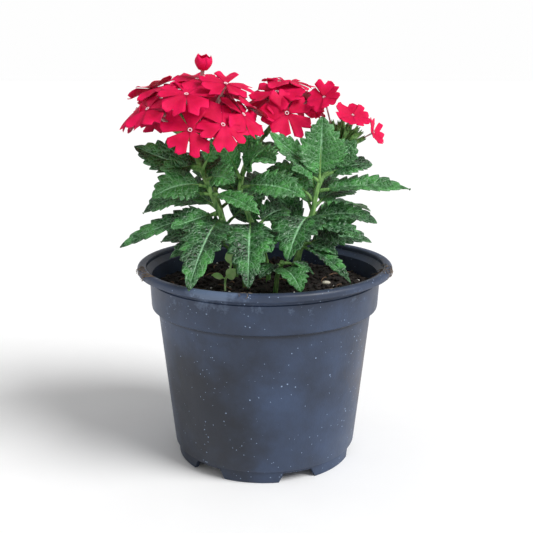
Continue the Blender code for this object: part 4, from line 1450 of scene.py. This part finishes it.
    def cut(self, pot: bpy.types.Object, cutters: list) -> None:
        """Take the cutters out of the pot and remove them.

        Args:
            pot: The pot's object.
            cutters: Objects to take out.
        """
        group = bpy.data.collections.new("pot_cutters")
        for cutter in cutters:
            group.objects.link(cutter)
        tool = pot.modifiers.new("Cut", "BOOLEAN")
        tool.operation = "DIFFERENCE"
        tool.operand_type = "COLLECTION"
        tool.collection = group
        graph = bpy.context.evaluated_depsgraph_get()
        mesh = bpy.data.meshes.new_from_object(pot.evaluated_get(graph))
        pot.modifiers.clear()
        pot.data = mesh
        for cutter in cutters:
            bpy.data.objects.remove(cutter)
        bpy.data.collections.remove(group)

    def notch(self, index: int) -> bpy.types.Object:
        """Make the wedge that cuts one drainage notch into the foot ring.

        Args:
            index: Which notch, counted round the foot.

        Returns:
            The cutter.
        """
        middle = radians(self.notch_first + index * 360.0 / self.foot_openings)
        half, slope = radians(self.notch_degrees / 2.0), radians(self.notch_slope)
        near, far = self.foot - self.foot_wall - self.cut_margin, self.foot + self.cut_margin
        bm = bmesh.new()
        rows = []
        for share in np.linspace(-1.0, 1.0, self.notch_steps):
            row = []
            for radius in (near, far):
                for height, spread in ((-1.0, half), (self.notch_height, half - slope)):
                    place = round_place(radius, middle + share * spread, height)
                    row.append(bm.verts.new(metres(place)))
            rows.append(row)
        for a, b in zip(rows, rows[1:]):
            for i, j in ((0, 1), (1, 3), (3, 2), (2, 0)):
                bm.faces.new((a[i], a[j], b[j], b[i]))
        for row in (rows[0], rows[-1]):
            bm.faces.new((row[0], row[1], row[3], row[2]))
        return self.finish_cutter(bm, f"notch_{index}")

    def drain(self, index: int) -> bpy.types.Object:
        """Make the round plug that cuts one drainage hole through the floor.

        Args:
            index: Which hole, counted round the floor.

        Returns:
            The cutter.
        """
        angle = radians(self.notch_first + (index + 0.5) * 360.0 / self.foot_openings)
        place = Matrix.Translation(metres(round_place(self.drain_circle, angle, self.foot_height)))
        radius = self.drain_radius * MM
        bm = bmesh.new()
        bmesh.ops.create_cone(bm, cap_ends=True, segments=24, radius1=radius, radius2=radius,
                              depth=self.drain_depth * MM, matrix=place)
        return self.finish_cutter(bm, f"drain_{index}")

    def finish_cutter(self, bm: bmesh.types.BMesh, name: str) -> bpy.types.Object:
        """Turn a cutter's mesh into an object.

        Args:
            bm: The cutter's mesh, which is freed.
            name: Name of the object.

        Returns:
            The cutter.
        """
        bmesh.ops.recalc_face_normals(bm, faces=bm.faces)
        return link_mesh(bm, name)


def icosahedron_corners() -> np.ndarray:
    """Place the twelve corners of an icosahedron with edges two long, round the origin.

    Returns:
        Array of twelve places.
    """
    golden = (1.0 + sqrt(5.0)) / 2.0
    signs = [(i, j) for i in (-1, 1) for j in (-1, 1)]
    return np.array([(0, i, j * golden) for i, j in signs] + [(i, j * golden, 0) for i, j in signs]
                    + [(j * golden, 0, i) for i, j in signs], float)


def icosahedron_faces(corners: np.ndarray) -> np.ndarray:
    """Find the triangles between corners that are neighbours, facing out.

    Args:
        corners: The twelve corners.

    Returns:
        Array of twenty triangles.
    """
    longest_edge = 2.1
    faces = []
    for a in range(12):
        for b in range(a + 1, 12):
            for c in range(b + 1, 12):
                edges = [np.linalg.norm(corners[p] - corners[q]) for p, q in ((a, b), (b, c), (a, c))]
                if max(edges) < longest_edge:
                    out = np.dot(np.cross(corners[b] - corners[a], corners[c] - corners[a]), corners[a])
                    faces.append((a, b, c) if out > 0 else (a, c, b))
    return np.array(faces)


CRUMB_CORNERS = icosahedron_corners()
CRUMB_FACES = icosahedron_faces(CRUMB_CORNERS)


@dataclass
class PottingSoil:
    """Dark peat and bark filling the pot, with crumbs, twigs and white grit on top."""

    pot: NurseryPot
    level: float = 82.0
    top_radius: float = 51.9
    floor: float = 7.4
    clearance: float = 0.6
    sides: int = 120
    rings: int = 46
    roughness: float = 0.22
    wave_height: float = 1.1
    crumbs: int = 1500
    crumb_sizes: tuple = (0.35, 1.25)
    crumb_limit: float = 51.0
    grit: int = 34
    grit_sizes: tuple = (0.25, 0.62)
    grit_limit: float = 50.0
    twigs: int = 46
    twig_lengths: tuple = (3.0, 11.0)
    twig_widths: tuple = (0.12, 0.45)
    twig_limit: float = 46.0
    seed: int = 11

    def height(self, x: float, y: float) -> float:
        """Height of the loose top at a place: three crossing waves, as in the model."""
        waves = sin(x * 0.16 + 1.0) * cos(y * 0.14) + 0.6 * sin(x * 0.31 - y * 0.27)
        return self.level + self.wave_height * (waves + 0.4 * cos(y * 0.42 + 2.0))

    def build(self, earth: bpy.types.Material, bark: bpy.types.Material, grit: bpy.types.Material) -> None:
        """Build the root ball and everything that lies on it.

        Args:
            earth: Material of the soil and crumbs.
            bark: Material of the twigs.
            grit: Material of the white grit.
        """
        rng = np.random.default_rng(self.seed)
        dress(self.root_ball(earth, rng), "soil", "soil")
        crumbs, twigs, specks = Draft(), Draft(), Draft()
        for _ in range(self.crumbs):
            self.lump(crumbs, rng, rng.uniform(*self.crumb_sizes) ** 1.2, self.crumb_limit)
        for _ in range(self.grit):
            self.lump(specks, rng, rng.uniform(*self.grit_sizes), self.grit_limit)
        for _ in range(self.twigs):
            self.twig(twigs, rng)
        dress(crumbs.build("soil_crumbs", earth, smooth=False), "soil")
        dress(twigs.build("soil_twigs", bark), "soil")
        dress(specks.build("soil_grit", grit, smooth=False), "soil")
        LOG.info("soil: %d crumbs, %d twigs", self.crumbs, self.twigs)

    def root_ball(self, mat: bpy.types.Material, rng: Rng) -> bpy.types.Object:
        """The filled body of soil with an uneven top.

        Args:
            mat: Its material.
            rng: Seeded random numbers.

        Returns:
            The object.
        """
        pot, sides = self.pot, self.sides
        inset = pot.wall + self.clearance
        turns = [2 * pi * k / sides for k in range(sides)]
        wall = [(pot.body_radius(pot.foot_height + pot.wall) - inset, self.floor),
                (pot.body_radius(pot.shoulder) - inset, pot.shoulder - 0.5),
                (self.top_radius - 1.4, pot.shoulder + 2.5)]
        points = [round_place(radius, turn, z) for radius, z in wall for turn in turns]
        rough = rng.normal(0.0, self.roughness, (self.rings, sides))
        for ring in range(self.rings):
            radius = self.top_radius * 0.985 * (1.0 - ring / self.rings)
            for turn, bump in zip(turns, rough[ring]):
                x, y, _ = round_place(radius, turn, 0.0)
                points.append((x, y, self.height(x, y) - 0.2 + bump * min(1.0, radius / 12.0)))
        points += [(0.0, 0.0, self.floor), (0.0, 0.0, self.height(0.0, 0.0))]
        total = len(wall) + self.rings
        draft = Draft()
        draft.take(np.array(points), np.array(ring_faces(total, sides)))
        low, high, last = total * sides, total * sides + 1, (total - 1) * sides
        draft.faces += [[low, (k + 1) % sides, k] for k in range(sides)]
        draft.faces += [[high, last + k, last + (k + 1) % sides] for k in range(sides)]
        return draft.build("root_ball", mat)

    def spot(self, rng: Rng, limit: float) -> tuple:
        """A random place on the soil within a radius."""
        radius, angle = limit * sqrt(rng.uniform()), rng.uniform(0.0, 2.0 * pi)
        return radius * cos(angle), radius * sin(angle)

    def lump(self, draft: Draft, rng: Rng, size: float, limit: float) -> None:
        """Add one crumb with twelve bent corners.

        Args:
            draft: Where it goes.
            rng: Seeded random numbers.
            size: Radius in millimetres.
            limit: How far from the axis it may lie.
        """
        x, y = self.spot(rng, limit)
        corners = CRUMB_CORNERS * (size / 1.9 * rng.uniform(0.7, 1.25, (12, 1)))
        corners *= np.array((rng.uniform(0.8, 1.3), rng.uniform(0.8, 1.3), 0.75))
        corners += np.array((x, y, self.height(x, y) + size * 0.35))
        draft.take(corners, CRUMB_FACES)

    def twig(self, draft: Draft, rng: Rng) -> None:
        """Add one short bent fibre or bark strip lying on the soil.

        Args:
            draft: Where it goes.
            rng: Seeded random numbers.
        """
        x, y = self.spot(rng, self.twig_limit)
        angle, length = rng.uniform(0.0, 2.0 * pi), rng.uniform(*self.twig_lengths)
        thick = rng.uniform(*self.twig_widths)
        line = []
        for t in np.linspace(-0.5, 0.5, 6):
            px = x + cos(angle) * length * t + 0.5 * sin(7.0 * t)
            py = y + sin(angle) * length * t
            line.append((px, py, self.height(px, py) + 0.7 + thick + 0.6 * cos(5.0 * t)))
        take_tube(draft, line, [thick * 0.7] + [thick] * 4 + [thick * 0.5], 6)


@dataclass
class LooseBits:
    """The seed on the soil and the root fibres that hang about the rim."""

    pot: NurseryPot
    soil: PottingSoil
    seed_place: tuple = (29.0, -2.0)
    seed_size: tuple = (2.1, 1.1, 1.0)
    seed_gap: float = 0.6
    # Each tuft gives its middle and half spread in degrees round the rim, and how many fibres it has.
    tufts: tuple = ((-158.0, 9.0, 38), (-14.0, 7.0, 22), (-97.0, 5.0, 4))
    fibre_turns: tuple = (0.04, 0.20)
    fibre_spans: tuple = (4.0, 9.0)
    fibre_starts: tuple = (-2.0, 5.0)
    fibre_radii: tuple = (0.07, 0.17)
    fibre_wave: float = 0.2
    fibre_steps: int = 10
    seed: int = 23

    def build(self, husk: bpy.types.Material, root: bpy.types.Material) -> None:
        """Build the seed and the fibres.

        Args:
            husk: Material of the seed.
            root: Material of the root fibres.
        """
        self.build_seed(husk)
        rng = np.random.default_rng(self.seed)
        draft = Draft()
        for middle, spread, count in self.tufts:
            for _ in range(count):
                self.fibre(draft, radians(middle + rng.uniform(-spread, spread)), rng)
        dress(draft.build("root_fibres", root), "soil")
        LOG.info("seed and root fibres")

    def build_seed(self, husk: bpy.types.Material) -> None:
        """Build the long pale seed that lies on the soil.

        Args:
            husk: Its material.
        """
        x, y = self.seed_place
        z = self.soil.height(x, y) + self.seed_size[2] + self.seed_gap
        place = Matrix.Translation(metres((x, y, z)))
        shape = Matrix.Diagonal((*metres(self.seed_size), 1.0))
        bm = bmesh.new()
        bmesh.ops.create_uvsphere(bm, u_segments=24, v_segments=14, radius=1.0, matrix=place @ shape)
        seed = link_mesh(bm, "seed_husk", husk)
        seed.data.polygons.foreach_set("use_smooth", [True] * len(seed.data.polygons))
        dress(seed, "seed_husk", "seed")

    def fibre(self, draft: Draft, angle: float, rng: Rng) -> None:
        """Add one thin root fibre that lies over the rim.

        Args:
            draft: Where it goes.
            angle: Where round the rim it lies.
            rng: Seeded random numbers.
        """
        turn = rng.uniform(*self.fibre_turns)
        curl = rng.uniform(-1.0, 1.0)
        span = rng.uniform(*self.fibre_spans)
        start = rng.uniform(*self.fibre_starts)
        line = []
        for t in np.linspace(0.0, 1.0, self.fibre_steps):
            a = angle + turn * (t - 0.5) + 0.02 * sin(9.0 * t + curl)
            r, z = self.pot.over_rim(start + span * t)
            r += self.fibre_wave * sin(7.0 * t + curl)
            z += self.fibre_wave * cos(6.0 * t)
            line.append(round_place(r, a, z))
        take_tube(draft, line, np.full(self.fibre_steps, rng.uniform(*self.fibre_radii)), 4)


# Matt studio paper, coated: the eye gets an even near-white with no gloss.
@dataclass(frozen=True)
class StudioPaper:
    """The pale paper that the pot stands on."""

    shade: str = "#FAFAFA"
    white: str = "#FDFDFD"
    grain_mm: float = 30.0
    roughness: float = 0.9

    def make(self) -> bpy.types.Material:
        """Build the material of the floor.

        Returns:
            The material.
        """
        mat, tree, shader, place = new_material("studio_paper")
        grain = add(tree, "TexNoise", {"Scale": per_mm(self.grain_mm), "Detail": 3.0}, {"Vector": place})
        tone = add(tree, "ValToRGB", {"stops": [(0.2, self.shade), (0.8, self.white)]},
                   {"Fac": grain.outputs["Fac"]})
        tree.links.new(tone.outputs[0], shader.inputs["Base Color"])
        shader.inputs["Roughness"].default_value = self.roughness
        return mat


@dataclass
class Studio:
    """Pale floor, soft light from the right and a camera at the photograph's viewing angle."""

    lens: float = 59.44
    sensor: float = 36.0
    eye: tuple = (0.0009, -0.4043, 0.1880)
    pitch: float = 13.56
    nearest: float = 0.01
    sun_from: tuple = (0.70, -0.42, 0.80)
    sun_power: float = 2.9
    sun_width: float = 32.0
    sun_tint: str = "#FFFFFF"
    sky_tint: str = "#FEFEFE"
    low_sky: float = 1.0
    high_sky: float = 0.42
    floor_half: float = 6.0

    def build(self) -> None:
        """Make the camera, floor, sky and sun."""
        self.camera()
        self.floor()
        self.sky()
        self.sun()
        bpy.context.scene.view_settings.view_transform = "Standard"
        LOG.info("studio ready")

    def camera(self) -> None:
        """Make the camera at the photograph's viewing angle."""
        camera = bpy.data.objects.new("camera", bpy.data.cameras.new("camera"))
        camera.data.lens = self.lens
        camera.data.sensor_width = self.sensor
        camera.data.clip_start = self.nearest
        camera.location = self.eye
        camera.rotation_euler = (radians(90.0 - self.pitch), 0.0, 0.0)
        bpy.context.scene.collection.objects.link(camera)
        bpy.context.scene.camera = camera

    def sun(self) -> None:
        """Make the one wide soft light, high at the front right."""
        data = bpy.data.lights.new("soft_sun", "SUN")
        data.energy = self.sun_power
        data.angle = radians(self.sun_width)
        data.color = linear(self.sun_tint)[:3]
        sun = bpy.data.objects.new("soft_sun", data)
        sun.rotation_euler = Vector(self.sun_from).to_track_quat("Z", "Y").to_euler()
        bpy.context.scene.collection.objects.link(sun)

    def floor(self) -> None:
        """Make the pale floor."""
        bm = bmesh.new()
        bmesh.ops.create_grid(bm, x_segments=1, y_segments=1, size=self.floor_half)
        link_mesh(bm, "floor", StudioPaper().make())

    def sky(self) -> None:
        """Make the world: white near the horizon, dimmer overhead, so that shadows keep their depth."""
        world = bpy.data.worlds.new("studio")
        bpy.context.scene.world = world
        world.use_nodes = True
        tree = world.node_tree
        way = add(tree, "TexCoord").outputs["Generated"]
        height = add(tree, "SeparateXYZ", links={"Vector": way}).outputs["Z"]
        glow = add(tree, "MapRange", {"From Min": 0.08, "From Max": 0.45, "To Min": self.low_sky,
                                      "To Max": self.high_sky}, {"Value": height})
        background = tree.nodes["Background"]
        background.inputs["Color"].default_value = linear(self.sky_tint)
        tree.links.new(glow.outputs[0], background.inputs["Strength"])


SHOOTS = (
    Shoot("stem_left", ((-9, -6, 70), (-9, -6, 80), (-10, -7, 92), (-14, -10, 104), (-20, -13, 118),
                        (-26, -11, 132), (-31, -4, 143)), (
        Leaf(116, (-31, -57, 94), 22, 5, 8), Leaf(127, (-2, -33, 121), 13, 2, 6, (0, -0.4, 1), young=0.5),
        Leaf(118, (-64.6, -20, 104), 13, 3, 8, (0, -0.6, 1)),
        Leaf(119, (-41, -26, 114), 15, 0, 6, (0, -0.7, 1)),
        Leaf(130, (-49, -24, 127), 20, 3, 7, (0, -1, 0.9), young=0.35),
        Leaf(127, (-55, -12, 118), 18, 3, 7, (0, -0.5, 1)),
        Leaf(137, (-60, 2, 147), 19, -1, 7, (0, -0.8, 0.7)),
        Leaf(139, (-46, -18, 139), 12, 0, 5, (0, -1, 0.8)),
        Leaf(137, (-20, -13, 153), 9, 0, 5, (0, -1, 0.2), young=0.6),
        Leaf(120, (-48, 16, 126), 20, 3, 7, (0, -0.5, 1)),
        Leaf(132, (-30, 24, 142), 18, 3, 7, (0, -0.4, 1)),
        Leaf(104, (-42, -24, 100), 17, 3, 7, (0, -0.5, 1)),
        Leaf(133, (-13, -27, 134), 14, 2, 6, (0, -1, 0.6), young=0.3),
    ), seed=1),
    Shoot("stem_middle", ((2, -1, 70), (2, -1, 80), (1, -2, 92), (-2, -6, 104), (-7, -10, 116),
                          (-11, -8, 128), (-8, 3, 140), (0, 13, 151)), (
        Leaf(114, (-7, -43, 91), 22, 5, 8), Leaf(108, (3, -30, 104), 13, 3, 5, (0, -0.4, 1)),
        Leaf(129, (18, -24, 127), 19, 3, 8, (0, -0.8, 1), young=0.25),
        Leaf(132, (-22, -21, 154), 12, 2, 6, (0.4, -1, 0.4), young=0.4),
        Leaf(137, (5, -20, 142), 17, 3, 7, (0, -0.9, 1), young=0.3),
        Leaf(140, (-8, -8, 158), 13, 0, 6, (0.3, -1, 0.1), young=0.5),
        Leaf(120, (5, 28, 128), 20, 4, 7, (0, -0.7, 1)),
        Leaf(124, (-29, 14, 134), 16, 3, 7, (0, -0.9, 0.8)),
        Leaf(136, (8, 22, 146), 15, 2, 6, (0, -0.6, 1)), Leaf(110, (12, 8, 116), 15, 3, 6, (0, -0.8, 1)),
        Leaf(134, (0, -26, 149), 13, 2, 6, (0, -1, 0.6), young=0.4),
    ), seed=2),
    Shoot("stem_right", ((12, -2, 70), (12, -2, 80), (14, -3, 92), (18, -4, 104), (22, -5, 117),
                         (25, -3, 130), (34, 6, 144)), (
        Leaf(115, (10, -34, 101), 25, 5, 8), Leaf(130, (26, -6, 161), 24, 0, 8, (0.1, -1, 0.2), young=0.35),
        Leaf(134, (2, -6, 154), 14, -1, 7, (0.6, -1, 0.6), young=0.2),
        Leaf(131, (12, -12, 138), 10, 1, 5, (0, -0.8, 1), young=0.4),
        Leaf(127, (66.6, -6, 128), 16, 2, 8, (0, -0.4, 1), young=0.2),
        Leaf(133, (50, 4, 138), 15, 2, 6, (0, -0.7, 1)),
        Leaf(135, (42, 0, 150), 15, 0, 6, (0.5, -1, 0.2), young=0.3),
        Leaf(113, (52, -4, 112), 15, 4, 7, (0, -0.5, 1)), Leaf(113, (42, -16, 109), 11, 1, 5, (0, -0.6, 1)),
        Leaf(101, (38, -31, 90), 11, 3, 8), Leaf(103, (33, -16, 100), 10, 1, 5, (0, -0.5, 1)),
        Leaf(119, (44, 18, 124), 18, 4, 7, (0, -0.6, 1)), Leaf(122, (1, 6, 136), 17, 3, 7, (0, -1, 0.8)),
    ), seed=3),
    Shoot("low_shoot", ((5, -12, 70), (5, -12, 80), (6, -14, 90), (8, -18, 97)), (
        Leaf(93, (16, -37, 88), 16, 3, 6, young=0.3), Leaf(96, (22, -22, 92), 9, 2, 5),
        Leaf(95, (-2, -30, 92), 11, 2, 5),
    ), seed=4),
    Shoot("stem_back_left", ((-14, 14, 70), (-14, 14, 80), (-15, 15, 92), (-20, 22, 108), (-25, 30, 124)), (
        Leaf(98, (-50, 10, 100), 20, 4, 7, (0, -0.5, 1)), Leaf(98, (-6, 48, 98), 17, 4, 7),
        Leaf(114, (-54, 34, 114), 19, 4, 7, (0, -0.5, 1)), Leaf(114, (0, 40, 116), 17, 4, 7),
        Leaf(122, (-40, 48, 136), 14, 2, 6, young=0.3), Leaf(122, (-14, 44, 138), 14, 2, 6, young=0.3),
        Leaf(106, (-1, 22, 120), 22, 2, 7, (0, -1, 0.35)), Leaf(94, (-40, 6, 110), 20, 2, 7, (0, -1, 0.5)),
    ), seed=5),
    Shoot("stem_back_right", ((16, 16, 70), (16, 16, 80), (17, 17, 92), (22, 25, 107), (26, 32, 120)), (
        Leaf(96, (52, 14, 99), 20, 4, 7, (0, -0.5, 1)), Leaf(96, (8, 52, 94), 16, 4, 7),
        Leaf(110, (54, 40, 110), 18, 4, 7), Leaf(112, (16, 54, 122), 15, 3, 6),
        Leaf(118, (40, 44, 132), 13, 2, 6, young=0.3),
        Leaf(118, (22, 36, 140), 14, 0, 6, (0, -1, 0.3), young=0.3),
        Leaf(98, (2, 12, 112), 20, 2, 7, (0, -1, 0.35)), Leaf(104, (0, 14, 126), 16, 2, 7, (0, -1, 0.3)),
        Leaf(102, (44, 6, 112), 20, 2, 7, (0, -1, 0.4)),
    ), seed=6),
)


def seed_leaf(rise: float, tip: tuple, width: float, arch: float, face: tuple) -> Leaf:
    """Shape one small smooth leaf of the seedling.

    Args:
        rise: Height at which it leaves the stalk.
        tip: Its tip.
        width: Its width.
        arch: How far it arches.
        face: The way its upper side faces.

    Returns:
        The leaf.
    """
    return Leaf(rise, tip, width, arch, 5, face, stalk=1.5, habit=Habit.SMOOTH, thickness=0.25, fold=0.1,
                quilt=0.1)


SEEDLING = Shoot("seedling", ((-18, -14, 70), (-18, -14, 80), (-18, -14, 87), (-16, -15, 92),
                              (-15, -16, 96)), (
    seed_leaf(94, (-15, -17, 103), 5.4, 0, (0, -1, 0.2)),
    seed_leaf(88, (-13, -20, 94), 5.4, 0, (0, -1, 0.4)),
    seed_leaf(88, (-24, -17, 90.5), 3.4, 0.4, (0, -1, 1)),
), 1.0, 7, "seedling")

HEADS = (
    DomedHead("left", "stem_left", (-31, -2, 150), 30.0, (-0.1, -0.1, 1),
              ((-91, 76), (-96, 45), (-131, 62), (-77, 13), (-44, 38), (-160, 32), (-30, 64),
               (-60, 72), (-162, 62), (56, 46), (104, 44), (152, 46), (6, 62), (54, 68),
               (90, 70), (130, 68), (168, 64)), (-31, -4, 143), 3, bud=True),
    DomedHead("middle", "stem_middle", (7.2, 17, 159), 17.0, (0.2, 0, 1),
              ((-100, 36), (20, 16), (-80, 80), (14, 58), (64, 66), (114, 56)), (0, 13, 151), 5),
)


class Finishes:
    """Every finish of the verbena and its pot, made once."""

    def __init__(self) -> None:
        """Make the materials."""
        self.plastic = MouldedPolypropylene().make()
        self.leaf = VerbenaLeaf().make()
        self.stem = VerbenaStem().make()
        self.petal = VerbenaPetal().make()
        # Floret tube, grown: a thin skin in wine red and pale patches, mostly hidden.
        self.tube = MottledNature("verbena_floret_tube", "#8E2A48", "#CFA6A0", 2.0, 0.5).make()
        # Seedling leaf, grown: fresh yellow-green, a little glossy; both tones are painted paler than its
        # own colour as painted light, since it sits in the leaves' shade.
        self.young = MottledNature("seedling_leaf_blade", "#ACEE84", "#D9FBB4", 2.5, 0.45).make()
        # Peat and bark mix, milled: near-black crumbs with brown ones among them, rough and dull.
        self.earth = MottledNature("peat_and_bark_mix", "#090706", "#2B2019", 1.8, 0.85, 0.9, 0.0008).make()
        # Bark strip, torn: brown and fibrous.
        self.bark = MottledNature("bark_strip", "#3A2A1E", "#8A6B50", 1.2, 0.8, 0.6).make()
        # Perlite grit, puffed by heat: dull white grains.
        self.grit = MottledNature("perlite_grit", "#C9C6BE", "#F4F3EE", 0.8, 0.8).make()
        # Seed husk, dried: pale straw.
        self.husk = MottledNature("dry_seed_husk", "#B9B29C", "#E3DECB", 1.0, 0.6).make()
        # Root fibre, dried: grey-brown threads.
        self.root = MottledNature("dry_root_fibre", "#3F332B", "#8F7F6C", 1.5, 0.8).make()


def build_plant(finishes: Finishes) -> None:
    """Build the verbena's shoots and heads, and the seedling.

    Args:
        finishes: The materials.
    """
    opening = OpeningHead()
    for shoot in SHOOTS:
        extras = [head.calyces for head in (*HEADS, opening) if head.shoot == shoot.name]
        shoot.grow(finishes.leaf, finishes.stem, tuple(extras))
    SEEDLING.grow(finishes.young, finishes.young)
    for head in (*HEADS, opening):
        head.bloom(finishes.petal, finishes.tube)


def main() -> None:
    """Build the whole potted verbena and its studio."""
    logging.basicConfig(level=logging.INFO, format="%(message)s")
    Studio().build()
    finishes = Finishes()
    pot = NurseryPot()
    pot.build(finishes.plastic)
    soil = PottingSoil(pot)
    soil.build(finishes.earth, finishes.bark, finishes.grit)
    build_plant(finishes)
    LooseBits(pot, soil).build(finishes.husk, finishes.root)


if __name__ == "__main__":
    main()
